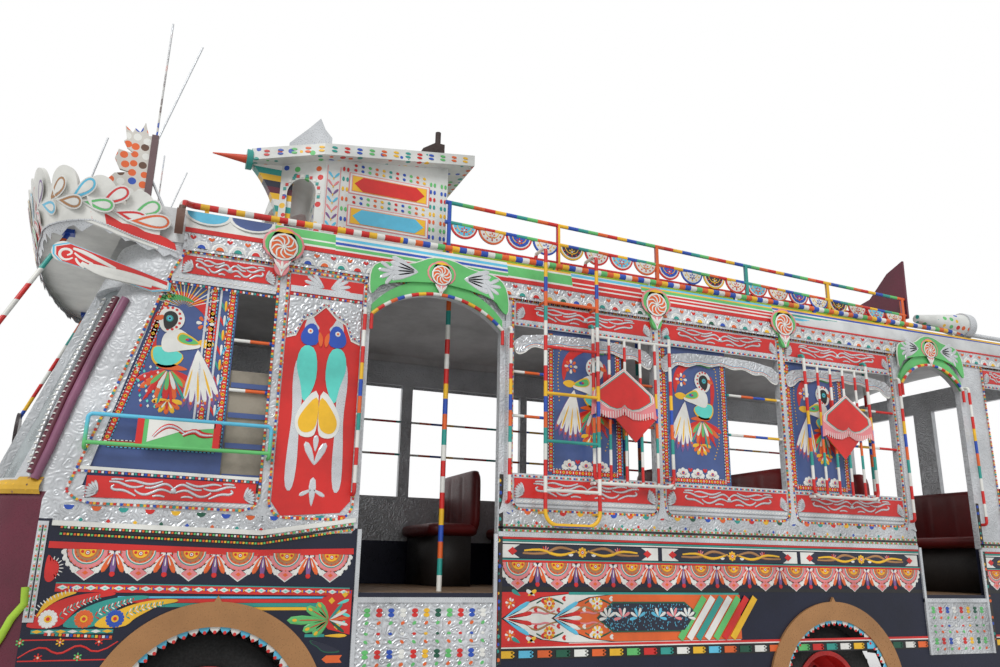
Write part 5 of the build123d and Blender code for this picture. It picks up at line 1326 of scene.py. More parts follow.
def lotus_plaque(piece, place):
    """Plaque with a pointed top and two scallops below, its face left bare."""
    half = [
        (0, 0.205), (0.235, 0.03), (0.245, -0.02), (0.2, -0.05), (0.13, -0.088), (0.07, -0.1),
        (0.028, -0.088), (0, -0.062)
    ]
    leaf = whole(half, 1)
    skirt = [
        (0, 0.1), (0.25, 0.02), (0.262, -0.145), (0.2, -0.122), (0.13, -0.152), (0.07, -0.155), (0.02, -0.13),
        (0, -0.102)
    ]
    piece.add(cutout(whole(skirt, 1), 0.004, False), place, "pink")
    rows = [(1.0, "white"), (0.965, "pink"), (0.935, "white"), (0.9, "teal"), (0.86, "red")]
    for number, (share, paint) in enumerate(rows):
        layer = lifted(place, 0.003 + 0.001 * number)
        piece.add(cutout([(share * x, share * y) for x, y in leaf], 0.003, False), layer, paint)
    for x in spaced(-0.24, 0.24, 0.02):
        z = -0.09 - 0.03 * abs(math.sin(math.pi * x / 0.25))
        stripe = turned(moved(place, x, z, 0.004), 180)
        piece.put("block", moved(stripe, 0, 0.012), "white", (0.005, 0.045, 0.0015))


def guard_plate(piece, place):
    """Green and white plate of the first guard, with red ends."""
    piece.put("block", moved(place, 0, 0.055), "green", (0.4, 0.145, 0.002))
    field = [(-0.16, 0), (0.02, 0.075), (0.19, 0.1), (0.19, 0.125), (-0.16, 0.125)]
    piece.add(cutout(field, 0.002, False), lifted(place, 0.0015), "white")
    swirls = [
        [(-0.13, 0.03), (-0.09, 0.09), (-0.02, 0.1), (0.03, 0.06)],
        [(0.02, 0.05), (0.08, 0.09), (0.12, 0.05), (0.18, 0.06)]
    ]
    for points in swirls:
        piece.add(stroke(points, 0.04, 0.06), lifted(place, 0.003), "red")
        piece.add(stroke(points, 0.015, 0.2), lifted(place, 0.004), "foil")
    for x in (-0.2, 0.2):
        piece.put("block", moved(place, x, 0.06), "red", (0.035, 0.15, 0.0035))


def twin_panel(piece, rear, front):
    """Tall red panel with two facing birds over a heart."""
    middle = (front + rear) / 2
    low, high = 1.56, 3.03
    base = on_side(LEFT, middle, low, 0.002)
    relief = sizes().relief * 1.5
    half = (front - rear) / 2
    outline = [(-half + 0.08, 0), (half - 0.08, 0.03), (half - 0.02, 0.1)]
    outline += [(half - 0.02, high - low), (-half + 0.02, high - low), (-half + 0.02, 0.08)]
    piece.add(cutout(outline, relief, False), base, "red")
    path = rounded_frame(front - 0.005, rear + 0.005, low - 0.01, high + 0.02, 0.1)
    beads(piece, LEFT, path, BEAD_MIX, 0.006)
    face = lifted(base, relief)
    for way in (1, -1):
        for paint, thick, points in TWIN_BIRD:
            piece.add(cutout(flipped(points, way), relief * thick), face, paint)
        piece.dots(
            moved(base, way * 0.085, 1.115, relief * 3),
            [("white", 0.017, relief), ("orange", 0.008, relief * 1.6)]
        )
        leaf = turned(moved(base, 0, 0.3, relief), -way * 24)
        piece.put("petal", leaf, "foil", (0.05, 0.15, relief))
        foot = turned(moved(base, 0, 0.16, relief), way * 118)
        piece.put("petal", foot, "foil", (0.03, 0.085, relief))
        curl = [(0.02, 0.82), (0.055, 0.79), (0.07, 0.74), (0.045, 0.71)]
        piece.add(stroke(flipped(curl, way), 0.014, 0.4), face, "red")
    piece.put("petal", moved(base, 0, 0.06, relief), "foil", (0.05, 0.17, relief))
    piece.put("petal", moved(base, 0, 0.38, relief), "foil", (0.04, 0.1, relief))
    ogee = [(-0.225, 1.33), (-0.225, 1.07), (-0.17, 1.09), (-0.13, 1.19), (-0.07, 1.22), (0, 1.29)]
    arch = whole(ogee)
    piece.add(cutout([(x, z - 0.012 if z < 1.33 else z) for x, z in arch], 0.004, False), face, "white")
    piece.add(cutout(arch, 0.006, False), face, "silver")
    for (x0, z0), (x1, z1) in zip(arch[1:], arch[2:-1]):
        beads(
            piece, LEFT, [(middle - x0, low + z0 + 0.014), (middle - x1, low + z1 + 0.014)],
            ["white", "red", "white", "blue"], 0.012, 0.008, 0.014
        )
    strip(piece, LEFT, middle + 0.225, middle - 0.225, low + 1.375, 0.04, "foil", 0.004, 0.006)
    beads(piece, LEFT, [(middle + 0.225, low + 1.338), (middle - 0.225, low + 1.338)], LINE_MIX, 0.01, 0.012)
    for way in (1, -1):
        head = moved(base, way * 0.02, 1.405, relief)
        fan(piece, head, 4, -way * 40, -way * 95, 0, 0.13, 0.032, ["foil"], 0.004)


class BUS_OT_boards(bpy.types.Operator):
    """Paint the boards in the windows and beside the front doorway"""

    bl_idname = "bus.boards"
    bl_label = "Painted boards"

    def execute(self, context):
        birds = Piece("bird_boards")
        for front, rear in BOARDS:
            bird_board(birds, front, rear)
        bird_board(birds, *FRONT_BOARD)
        birds.done()
        twin = Piece("twin_bird_panel")
        twin_panel(twin, 2.08, 2.58)
        twin.done()
        plaques = Piece("guard_plaques")
        for x in (0.238, -1.79):
            lotus_plaque(plaques, on_side(LEFT, x, 2.45, 0.075))
        guard_plate(plaques, on_side(LEFT, 3.1, 1.925, 0.0595))
        plaques.done()
        return {"FINISHED"}


def ledge_spot(u, v):
    """Point of the ledge round the nose, from the left side to the right."""
    angle = math.radians(66 - 132 * u)
    z = 1.625 + 0.09 * v
    start = Vector((3.2 + 3 * math.cos(angle), 3 * math.sin(angle), z))
    place = landed("front_wall", start, Vector((3.2, 0, z)) - start)
    out = Vector((math.cos(angle), math.sin(angle), 0)) * (0.006 + 0.03 * math.sin(math.pi * min(1, v + 0.1)))
    spot = place.translation if place else Vector((3.2 + 0.94 * math.cos(angle), 1.3 * math.sin(angle), z))
    return spot + out


def step_panel(piece, front, rear, low, high):
    """Embossed tin under a doorway, with rows of coloured dabs."""
    middle = (front + rear) / 2
    piece.put(
        "block", on_side(LEFT, middle, (low + high) / 2), "silver", (front - rear - 0.02, high - low, 0.003)
    )
    for x in (front - 0.012, rear + 0.012):
        strip(piece, LEFT, x + 0.012, x - 0.012, (low + high) / 2 + 0.2, high - low + 0.4, "foil", 0, 0.014)
    strip(piece, LEFT, front, rear, high, 0.03, "foil", 0, 0.012)
    rows = [
        (0.06, 0, 0.013), (0.085, 0, 0.013), (0.13, 35, 0.009), (0.19, 0, 0.008), (0.235, -35, 0.009),
        (0.29, 0, 0.013), (0.315, 0, 0.013), (0.36, 35, 0.009)
    ]
    level = ("green", "red", "blue", "white", "red", "yellow", "forest")
    for drop, turn, size in rows:
        paints = ("green", "orange") if turn else level
        for i, x in enumerate(spaced(front - 0.05, rear + 0.05, 0.075)):
            paint = paints[i % len(paints)]
            piece.put("disc", on_side(LEFT, x, high - drop, 0.003, turn), paint, (size * 1.5, size, 0.003))
    strip(piece, LEFT, rear - 0.01, rear - 0.035, 1.3, 1.15, "jamb", 0, 0.008)


class BUS_OT_corners(bpy.types.Operator):
    """Dress the windscreen pillars, the cowl and the steps of the kerb side"""

    bl_idname = "bus.corners"
    bl_label = "Front corners and steps"

    def execute(self, context):
        lines = Piece("pillar_lines")
        for side in (LEFT, RIGHT):
            outer = [
                (3.456, 1.167, 2.741), (3.562, 1.167, 2.432), (3.647, 1.173, 2.138), (3.718, 1.181, 1.859),
                (3.765, 1.184, 1.7)
            ]
            inner = [
                (3.571, 0.989, 2.777), (3.653, 1.013, 2.487), (3.736, 1.05, 2.182), (3.771, 1.136, 1.969),
                (3.801, 1.159, 1.766)
            ]
            lift = Vector((0.012, 0.016, 0.004))
            mirror = Vector((1, side, 1))
            tube_line = [(Vector(p) + lift) * mirror for p in outer]
            rope = [(Vector(p) + lift) * mirror for p in inner]
            seal = [(Vector(a) * 0.62 + Vector(b) * 0.38 + lift * 1.3) * mirror for a, b in zip(outer, inner)]
            lines.add(cable(tube_line, 0.024), Matrix(), "mauve")
            lines.add(cable(seal, 0.026), Matrix(), "maroon")
            lines.add(cable(rope, 0.011), Matrix(), "foil")
            for row, size, paint, reach in ((seal, 0.009, "white", 0.026), (rope, 0.012, "white", 0.008)):
                for a, b in zip(row, row[1:]):
                    for share in spaced(0, 1, 0.032 / (b - a).length):
                        spot = a.lerp(b, share) + Vector((0.5, 0.85 * side, 0.15)) * reach
                        lines.put("dome", Matrix.Translation(spot), paint, (size, size * 0.7, size))
        lines.done()
        ledge = Piece("cowl_ledge")
        ledge.add(bent(48, 4, ledge_spot), Matrix(), "worn_yellow")
        for side in (LEFT, RIGHT):
            curl = [
                (3.735, 1.203, 1.16), (3.728, 1.206, 1.08), (3.776, 1.199, 1.01), (3.811, 1.189, 0.92),
                (3.84, 1.178, 0.86)
            ]
            ledge.add(cable([(x, side * y, z) for x, y, z in curl], 0.02), Matrix(), "lime")
            strip(ledge, side, 3.725, 3.675, 1.24, 0.5, "foil", 0, 0.008)
            for x in (3.712, 3.688):
                beads(ledge, side, [(x, 1.47), (x, 1.01)], ["orange", "green", "white"], 0.006, 0.009)
            strip(ledge, side, 3.703, 3.697, 1.24, 0.46, "black", 0.006, 0.004)
        ledge.done()
        steps = Piece("step_panels")
        for front, rear in DOORWAYS:
            step_panel(steps, front, rear, 0.7, 1.1)
        steps.done()
        return {"FINISHED"}


def bench(piece, x, y, width):
    """Cushion, back and plinth of one bench."""
    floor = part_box("floor")[1].z
    piece.put("block", Matrix.Translation((x, y, floor + 0.002)), "plinth", (0.3, width - 0.06, 0.39))
    panels = max(2, round(width / 0.28))
    cushion = Matrix.Translation((x, y, floor + 0.442))
    piece.add(seat_pad((0.43, width, 0.11), panels), cushion, "vinyl")
    back = Matrix.Translation((x - 0.19, y, floor + 0.682)) @ Matrix.Rotation(math.pi / 2, 4, "Y")
    piece.add(seat_pad((0.5, width, 0.088), panels), back, "vinyl")


def seat_pad(size, panels):
    """Crowned closed pad whose sides pull in and whose top has sewn channels."""
    bm = bmesh.new()
    bmesh.ops.create_cube(bm, size=2.0)
    across = [e for e in bm.edges if abs(e.verts[0].co.y - e.verts[1].co.y) > 1]
    bmesh.ops.subdivide_edges(bm, edges=across, cuts=8 * panels - 1, use_grid_fill=True)
    deep = [e for e in bm.edges if abs(e.verts[0].co.x - e.verts[1].co.x) > 1]
    bmesh.ops.subdivide_edges(bm, edges=deep, cuts=11, use_grid_fill=True)
    tall = [e for e in bm.edges if abs(e.verts[0].co.z - e.verts[1].co.z) > 1]
    bmesh.ops.subdivide_edges(bm, edges=tall, cuts=5, use_grid_fill=True)
    for vert in bm.verts:
        x, y, z = vert.co
        reach = (abs(x) ** 7 + abs(y) ** 14 + abs(z) ** 4) ** (1 / 7)
        pull = 1.0 / max(1.0, reach)
        channel = min((abs(y - (-1 + 2 * i / panels)) for i in range(1, panels)), default=1.0) * size[1] / 2
        dip = 0.01 * math.exp(-((channel / 0.014) ** 2))
        crown = (1 - x**4) * (1 - y**8)
        lift = (0.88 + 0.12 * crown) * size[2] / 2 - dip * (1 - abs(x) ** 6)
        vert.co = (x * pull * size[0] / 2, y * pull * size[1] / 2, max(-1, min(1, z * pull)) * lift)
    mesh = bpy.data.meshes.new("pad")
    bmesh.ops.recalc_face_normals(bm, faces=bm.faces)
    bm.to_mesh(mesh)
    bm.free()
    return mesh


class BUS_OT_soft(bpy.types.Operator):
    """Make the padded seats"""

    bl_idname = "bus.soft"
    bl_label = "Seats"

    def execute(self, context):
        rows = [(0.9 - 0.8 * i, -1) for i in range(6)] + [(0.5 - 0.8 * i, 1) for i in range(4)]
        seats = Piece("bench_pads")
        for x, side in rows:
            bench(seats, x, side * 0.7, 0.86)
        bench(seats, REAR_X + 0.285, 0, 2.26)
        made = seats.done(replaces=["passenger_seats"], smooth=True)
        driver = Piece("driver_pads")
        low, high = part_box("driver_seat")
        bench(driver, low.x + 0.235, (low.y + high.y) / 2, high.y - low.y)
        made = driver.done(replaces=["driver_seat"], smooth=True)
        return {"FINISHED"}


class BUS_OT_tyres(bpy.types.Operator):
    """Make the tread blocks of the six tyres"""

    bl_idname = "bus.tyres"
    bl_label = "Tyre tread"

    def execute(self, context):
        for node, body, count in (
            ("tyre_front_left", "wheel_body_front_left", 1),
            ("tyre_front_right", "wheel_body_front_right", 1),
            ("tyres_rear_left", "wheel_body_rear_left", 2),
            ("tyres_rear_right", "wheel_body_rear_right", 2),
        ):
            tread = Piece("tread_" + node)
            low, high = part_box(node)
            centre = (low + high) / 2
            radius = (high.z - low.z) / 2
            width = 0.216
            middles = [centre.y] if count == 1 else [low.y + width / 2, high.y - width / 2]
            for y in middles:
                for row in (-1, 0, 1):
                    for i in range(36):
                        turn = Matrix.Rotation(math.radians(10 * i + 5 * (row % 2)), 4, "Y")
                        spot = Matrix.Translation((centre.x, y + row * 0.056, centre.z)) @ turn
                        spot = lifted(spot, radius - 0.011 - 0.004 * abs(row))
                        skew = Matrix.Rotation(0.3 * row, 4, "Z")
                        tread.put("block", spot @ skew, "rubber", (0.052, 0.046, 0.011))
            tread.done(body)
        return {"FINISHED"}


# Heights of a doorway's arch at its sides and at its crown
DOOR_ARCH = (2.83, 3.02)

# Painted bands of the cove: its foot and height, and front x, rear x and rows of upper end and paint
COVE_Z, COVE_RISE = 3.205, 0.138
COVE_BANDS = [
    (3.2, 2.68, [(0.14, "red"), (1.0, "white")]),
    (2.68, 2.3, [(0.14, "red"), (0.24, "white"), (0.44, "green"), (0.52, "white"), (0.96, "green")]),
    (2.3, 1.1, [
        (0.12, "red"), (0.2, "white"), (0.36, "green"), (0.44, "white"), (0.58, "blue"), (0.68, "white"),
        (0.84, "sky"), (1.0, "white")
    ]),
    (1.1, 0.6, [(0.14, "red"), (0.24, "white"), (0.8, "green"), (0.9, "white"), (1, "yellow")]),
    (0.6, 0.02, [
        (0.12, "red"), (0.2, "white"), (0.36, "red"), (0.44, "white"), (0.7, "red"), (0.78, "white"),
        (0.94, "sky")
    ]),
    (0.02, -1.2, [
        (0.12, "red"), (0.22, "white"), (0.34, "red"), (0.42, "white"), (0.54, "red"), (0.62, "white"),
        (0.8, "green"), (0.88, "yellow"), (1, "sky")
    ]),
    (-1.2, -4.19, [
        (0.14, "red"), (0.28, "white"), (0.44, "sky"), (0.52, "white"), (0.66, "teal"), (0.76, "white"),
        (0.88, "blue"), (1, "yellow")
    ]),
]


def coving(side, word):
    """Painted bands along the cove from the frieze up to the rail."""
    cove = Piece("coving_" + word)
    for front, rear, rows in COVE_BANDS:
        start = 0
        for end, paint in rows:

            def spot(u, v, start=start, end=end):
                x = front + (rear - front) * u
                z = COVE_Z + COVE_RISE * (start + (end - start) * v)
                place = landed("roof", (x, side * 2.0, z), (0, -side, 0), 0.002)
                return place.translation if place else Vector((x, side * 1.19, z))

            cove.add(bent(1, 3, spot), Matrix(), paint)
            start = end
    for x, paint in ((3.08, "sky"), (2.82, "slate")):
        place = landed("roof", (x, side * 2.0, 3.338), (0, -side, 0), 0.003)
        rings(cove, "half_disc", place, (0.14, 0.095), [(1, "white"), (0.94, paint)], 0.002)
    lip = Piece("frieze_lip_" + word)
    strip(lip, side, 3.2, REAR_X + 0.02, 3.2, 0.012, "red", 0.012, 0.006)
    lip.done()
    cove.done()


def pinwheel(piece, place, scale=1.0):
    """Round medallion with a turning spiral of orange and white."""
    place = place @ Matrix.Scale(scale, 4)
    for angle, paint in ((60, "green"), (-60, "green"), (0, "yellow")):
        lobe = turned(place, angle, 0.035)
        rings(piece, "disc", lobe, (0.098, 0.098), [(1.0, "pink"), (0.93, paint)], 0.003)
    core = lifted(place, 0.004)
    rings(piece, "disc", core, (0.097, 0.097), [(1.0, "black"), (0.97, "white"), (0.87, "orange")], 0.0026)
    for i in range(9):
        blade = turned(place, i * 40, 0, 0.0115)
        points = [(0.004, 0.006), (0.026, 0.022), (0.03, 0.05), (0.012, 0.074)]
        piece.add(stroke(points, 0.0125, 0.2), blade, "white")
    piece.put("dome", lifted(place, 0.009), "white", (0.012, 0.012, 0.004))
    drop = [
        (-0.06, -0.06), (-0.045, -0.11), (-0.012, -0.15), (0, -0.2), (0.012, -0.15), (0.045, -0.11),
        (0.06, -0.06)
    ]
    for share, paint, up in ((1.0, "white", 0), (0.86, "pink", 0.002)):
        piece.add(cutout([(share * x, share * y) for x, y in drop], 0.003), lifted(place, up), paint)
    fan(piece, moved(place, 0, -0.15, 0.004), 3, -34, 34, 0, 0.06, 0.022, ["white"], 0.003)


def canopy(piece, x, scale):
    """Green canopy over a doorway, with silver leaves and a pinwheel."""
    place = on_side(LEFT, x, 3.0, 0.032) @ Matrix.Scale(scale, 4, (1, 0, 0))
    outline = [(-0.47, -0.06), (-0.48, 0.12), (-0.42, 0.19), (-0.2, 0.19), (-0.08, 0.27), (0.08, 0.27)]
    outline += [(0.2, 0.22), (0.4, 0.21), (0.48, 0.12), (0.49, -0.08), (0.42, -0.02), (0.38, 0.05)]
    outline += [(0, 0.11), (-0.38, 0.05), (-0.43, 0)]
    piece.add(cutout([(1.015 * px, 1.03 * pz) for px, pz in outline], 0.01), place, "white")
    piece.add(cutout(outline, 0.013), place, "green")
    for way in (1, -1):
        leaf = moved(place, way * 0.16, 0.15, 0.013)
        fan(piece, leaf, 5, -way * 66, -way * 112, 0, 0.2, 0.05, ["foil"], 0.003)
        fan(piece, moved(leaf, way * 0.16, -0.02), 4, -way * 60, -way * 150, 0, 0.11, 0.035, ["foil"], 0.004)
    pinwheel(piece, on_side(LEFT, x, 3.15, 0.047), 0.78)
    side_z, crown_z = DOOR_ARCH
    half = 0.45 * scale
    path = [(-half, side_z - 0.1), (-half, side_z), *arc((-half, side_z), (0, crown_z), (half, side_z), 20)]
    path.append((half, side_z - 0.1))
    paints = ["red", "yellow", "red", "white", "orange", "blue", "white"]
    for number, (start, end) in enumerate(zip(path, path[1:])):
        ends = [(x - px, SIDE_Y + 0.034, pz) for px, pz in (start, end)]
        piece.add(cable(ends, 0.012), Matrix(), paints[number % len(paints)])


class BUS_OT_roof_edge(bpy.types.Operator):
    """Make the frieze, the striped coving and the pinwheels along the roof"""

    bl_idname = "bus.roof_edge"
    bl_label = "Roof edge"

    def execute(self, context):
        for side, word in SIDES:
            frieze = Piece("roof_frieze_" + word)
            front, rear = 3.2, REAR_X + 0.02
            strip(frieze, side, front, rear, 3.135, 0.11, "silver", 0.0125, 0.003)
            beads(frieze, side, [(front, FRIEZE_Z), (rear, FRIEZE_Z)], BEAD_MIX, 0.004)
            for i, x in enumerate(spaced(front - 0.05, rear + 0.05, 0.105)):
                place = turned(on_side(side, x, 3.1, 0.0155), 180)
                jewel = JEWELS[i % len(JEWELS)]
                rows = [(1.0, "white"), (0.84, "foil"), (0.66, "white"), (0.54, jewel)]
                rings(frieze, "half_disc", place, (0.048, 0.048), rows, 0.002)
                heart = on_side(side, x + 0.0525, 3.152, 0.0155)
                fan(frieze, heart, 2, -30, 30, 0, 0.028, 0.02, [("red", "orange")[i % 2]], 0.003)
            frieze.done()
            coving(side, word)
        wheels = Piece("pinwheels")
        for x in (2.625, -0.08, -1.265):
            pinwheel(wheels, on_side(LEFT, x, 3.18, 0.0395))
        for front, rear in DOORWAYS:
            canopy(wheels, (front + rear) / 2, (front - rear) / 0.9)
        wheels.done()
        return {"FINISHED"}


def ogive(piece, side, tip, rear, paint, level):
    """Field with a pointed end to the front, its rays, flowers, hearts and scrolls."""
    relief = sizes().relief
    place = on_side(side, tip, 0.99)
    long = tip - rear
    half = [(0, 0), (0.12, 0.075), (0.27, 0.128), (0.45, 0.148), (long, 0.148)]
    outline = half + [(x, -z) for x, z in reversed(half[1:])]
    for number, (tone, ease) in enumerate((("black", 0), (paint, 0.008))):
        shaped = [(side * max(x, x + ease if x < long else x), z * (1 - 2 * ease)) for x, z in outline]
        deep = relief * (level + 0.5 * number + 0.5)
        piece.add(cutout(shaped, deep, False), moved(place, side * ease, 0), tone)
    top = relief * (level + 1.0)
    ray = moved(place, side * 0.02, 0, top)
    tones = ["sky", "white", "red", "white", "red", "white", "sky"]
    fan(piece, ray, 7, -90 * side - 30, -90 * side + 30, 0, 0.2, 0.036, tones, relief)
    ground = "orange" if paint == "white" else "white"
    for way in (1, -1):
        bloom = moved(place, side * 0.33, way * 0.088, top)
        flower(piece, bloom, 0.042, ["yellow", ground], ("white", "red"), 12)
        for x, z in ((0.22, 0.052), (0.27, 0.105), (0.38, 0.048), (0.42, 0.118)):
            heart = moved(place, side * x, way * z, top)
            fan(
                piece, heart, 2, -90 * side - 24, -90 * side + 24, 0, 0.03, 0.02,
                ["red" if paint == "white" else "white"], relief
            )
        scrolls = [
            ("gold", [(0.16, 0.035), (0.22, 0.075), (0.28, 0.06), (0.33, 0.03), (0.4, 0.02)]),
            ("forest", [(0.24, 0.09), (0.3, 0.125), (0.38, 0.11), (0.43, 0.085)]),
            ("pink", [(0.2, 0.03), (0.26, 0.04), (0.31, 0.02), (0.37, 0.045)]),
        ]
        for tone, points in scrolls:
            piece.add(stroke([(side * x, way * z) for x, z in points], 0.014, 0.16), lifted(place, top), tone)


def cartouche(piece, side, front, rear):
    """Dark speckled field with pointed ends and a plain floral spray."""
    place = on_side(side, (front + rear) / 2, 0.99, 0.006)
    relief = sizes().relief
    half = (front - rear) / 2
    outline = [
        (-half, 0), (-half + 0.12, 0.1), (half - 0.1, 0.1), (half, 0.03), (half - 0.1, -0.09),
        (-half + 0.12, -0.09)
    ]
    piece.add(cutout(outline, relief * 2, False), place, "forest")
    piece.add(cutout([(0.975 * a, 0.9 * b) for a, b in outline], relief * 3, False), place, "navy")
    draw = random.Random(sizes().seed)
    for _ in range(260):
        spot = moved(place, draw.uniform(-0.9, 0.9) * (half - 0.03), draw.uniform(-0.078, 0.085), relief * 3)
        piece.put("diamond", spot, "sky", (0.003, 0.006, relief * 0.4))
    for way in (1, -1):
        for i, offset in enumerate((0.08, 0.2, 0.31)):
            spray = moved(place, way * offset, 0, relief * 3.2)
            fan(
                piece, spray, 5, -100 * way, 60 * way, 0.006, 0.06, 0.024,
                [("sky", "pink", "white")[i], "white"], relief
            )


def wing_plumes(piece):
    """Three plumes that sweep into stripes ahead of the front wheel, with daisies and a vine below."""
    relief = sizes().relief
    plume = [(-0.105, -0.045), (-0.08, -0.005), (-0.03, 0.04), (0.06, 0.085), (0.17, 0.113), (0.3, 0.118)]
    plume += [(0.3, 0.1), (0.21, 0.088), (0.14, 0.046), (0.09, 0), (0.055, -0.045)]
    table = [
        (3.611, "red", 0.016, "white", "teal"), (3.446, "teal", 0, "orange", "red"),
        (3.299, "yellow", -0.018, "blue", "teal")
    ]
    for number, (x, paint, lift, petals, barb) in enumerate(table):
        place = on_side(LEFT, x, 1.005, relief * number)
        shaped = [(px, pz + (lift if pz > 0.03 else 0)) for px, pz in plume]
        piece.add(cutout(shaped, relief * 2), place, paint)
        for i in range(13):
            share = i / 12
            spot = (0.05 + 0.17 * share, 0.012 + 0.078 * share ** 0.6 + lift * share, relief * 2.2)
            for turn in (-20, -118):
                leaf = turned(moved(place, *spot), turn)
                piece.put("petal", leaf, (barb, "white")[i % 2], (0.008, 0.026 - 0.01 * share, relief))
        flower(piece, lifted(place, relief * 2), 0.046, [petals], ("yellow", "red"), 14)
    yellow = [
        (-0.045, 0.045), (-0.03, 0.085), (0.01, 0.125), (0.06, 0.14), (0.135, 0.137), (0.05, 0.11),
        (-0.02, 0.06), (-0.06, 0)
    ]
    place = on_side(LEFT, 3.611, 1.0, 0.003)
    piece.add(cutout(yellow, relief * 1.5), place, "yellow")
    for i in range(14):
        share = i / 13
        spot = (-0.055 + 0.17 * share**1.3, 0.02 + 0.122 * share**0.6, relief)
        piece.put("petal", turned(moved(place, *spot), 60 - 55 * share), "white", (0.008, 0.022, relief))
    for z, height, paint, front, rear in [
        (1.112, 0.01, "sky", 3.3, 2.16),
        (1.094, 0.02, "red", 3.25, 2.2),
        (1.072, 0.02, "teal", 3.1, 2.24),
        (1.052, 0.016, "yellow", 2.95, 2.27),
    ]:
        strip(piece, LEFT, front, rear, z, height, paint, 0, 0.0025)
    strip(piece, LEFT, 3.68, 3.3, 0.944, 0.02, "teal", 0, 0.003)
    for i, x in enumerate(spaced(3.68, 3.3, 0.055)):
        piece.put(
            "diamond", on_side(LEFT, x, 0.944, 0.003), ("yellow", "white")[i % 2], (0.026, 0.009, relief)
        )
    vine = [(3.72 - 0.09 * i, 0.857 + (0.036 if i % 2 else -0.036)) for i in range(6)]
    local = [(3.5 - x, z - 0.857) for x, z in vine]
    piece.add(stroke(local, 0.011, 0.2), on_side(LEFT, 3.5, 0.857, 0.001), "red")
    for i, (x, z) in enumerate(vine[:5]):
        spot = on_side(LEFT, x, 1.714 - z, 0.001)
        flower(piece, spot, 0.021, [("green", "red", "yellow", "green", "red")[i]], ("orange", "white"), 6)
    for z in (0.905, 0.806):
        strip(piece, LEFT, 3.72, 3.3, z, 0.006, "red", 0, 0.002)
    leaf_spray(piece)
    star = on_side(LEFT, 3.634, 1.255, 0.001)
    points = [
        (-0.025, 0.08), (0, 0.045), (0.035, 0.03), (0.04, -0.02), (0.02, -0.06), (-0.005, -0.075),
        (-0.03, -0.045)
    ]
    piece.add(cutout(points, relief), star, "red")
    for i in range(9):
        piece.put("petal", turned(star, 10 - 20 * i, 0.03), "white", (0.007, 0.03, relief))


def leaf_spray(piece):
    """Green leaf and red flower between the front wheel and the doorway."""
    relief = sizes().relief
    place = on_side(LEFT, 2.2, 1.0, 0.001)
    red = [
        (0.145, 0.155), (0.06, 0.135), (-0.02, 0.115), (-0.06, 0.06), (-0.04, 0), (0.02, -0.06),
        (0.145, -0.09)
    ]
    piece.add(cutout(red, relief * 1.6, False), place, "red")
    leaf = moved(place, 0.02, -0.01, relief)
    for angle, length in ((90, 0.235), (62, 0.15), (112, 0.155), (36, 0.12), (136, 0.12)):
        piece.put("petal", turned(leaf, angle), "green", (0.06, length, relief * 2))
        piece.put("petal", turned(leaf, angle), "red", (0.008, length * 0.8, relief * 2.6))
        piece.put("disc", turned(leaf, angle, length * 0.82), "yellow", (0.009, 0.015, relief * 2.8))
    for angle, paint in ((-62, "white"), (-84, "orange"), (-104, "white"), (-126, "forest"), (-40, "teal")):
        piece.put("petal", turned(leaf, angle), paint, (0.024, 0.12, relief * 2.4))
    for x, z in ((0.105, 0.13), (0.03, 0.095), (0.075, 0.03), (0.07, -0.045)):
        piece.put("diamond", moved(place, x, z, relief), "yellow", (0.02, 0.02, relief * 1.6))
    for x, z, turn in ((0.11, 0.075, -70), (0.12, 0.035, -110), (0.1, -0.055, -60)):
        piece.put(
            "petal", turned(moved(place, x - 0.05, z, relief), turn), "aqua", (0.024, 0.08, relief * 1.4)
        )
    strip(piece, LEFT, 2.31, 2.2, 0.907, 0.016, "teal", 0, 0.003)
    piece.put("petal", on_side(LEFT, 2.2, 0.905, 0.003, -90), "yellow", (0.024, 0.13, relief))
    wing = [
        (-0.1, 0), (0, -0.03), (0.11, -0.075), (0.02, -0.08), (-0.02, -0.07), (-0.05, -0.04), (-0.08, -0.03)
    ]
    piece.add(cutout(wing, relief), on_side(LEFT, 2.19, 0.89), "forest")
    inner = [(0.9 * x, 0.85 * z - 0.004) for x, z in wing]
    piece.add(cutout(inner, relief * 1.5), on_side(LEFT, 2.19, 0.89), "navy")
    tag = [(-0.06, 0), (-0.035, 0.02), (0.055, 0.02), (0.04, 0), (0.055, -0.02), (-0.035, -0.02)]
    piece.add(cutout(tag, relief, False), on_side(LEFT, 2.145, 0.78), "orange")


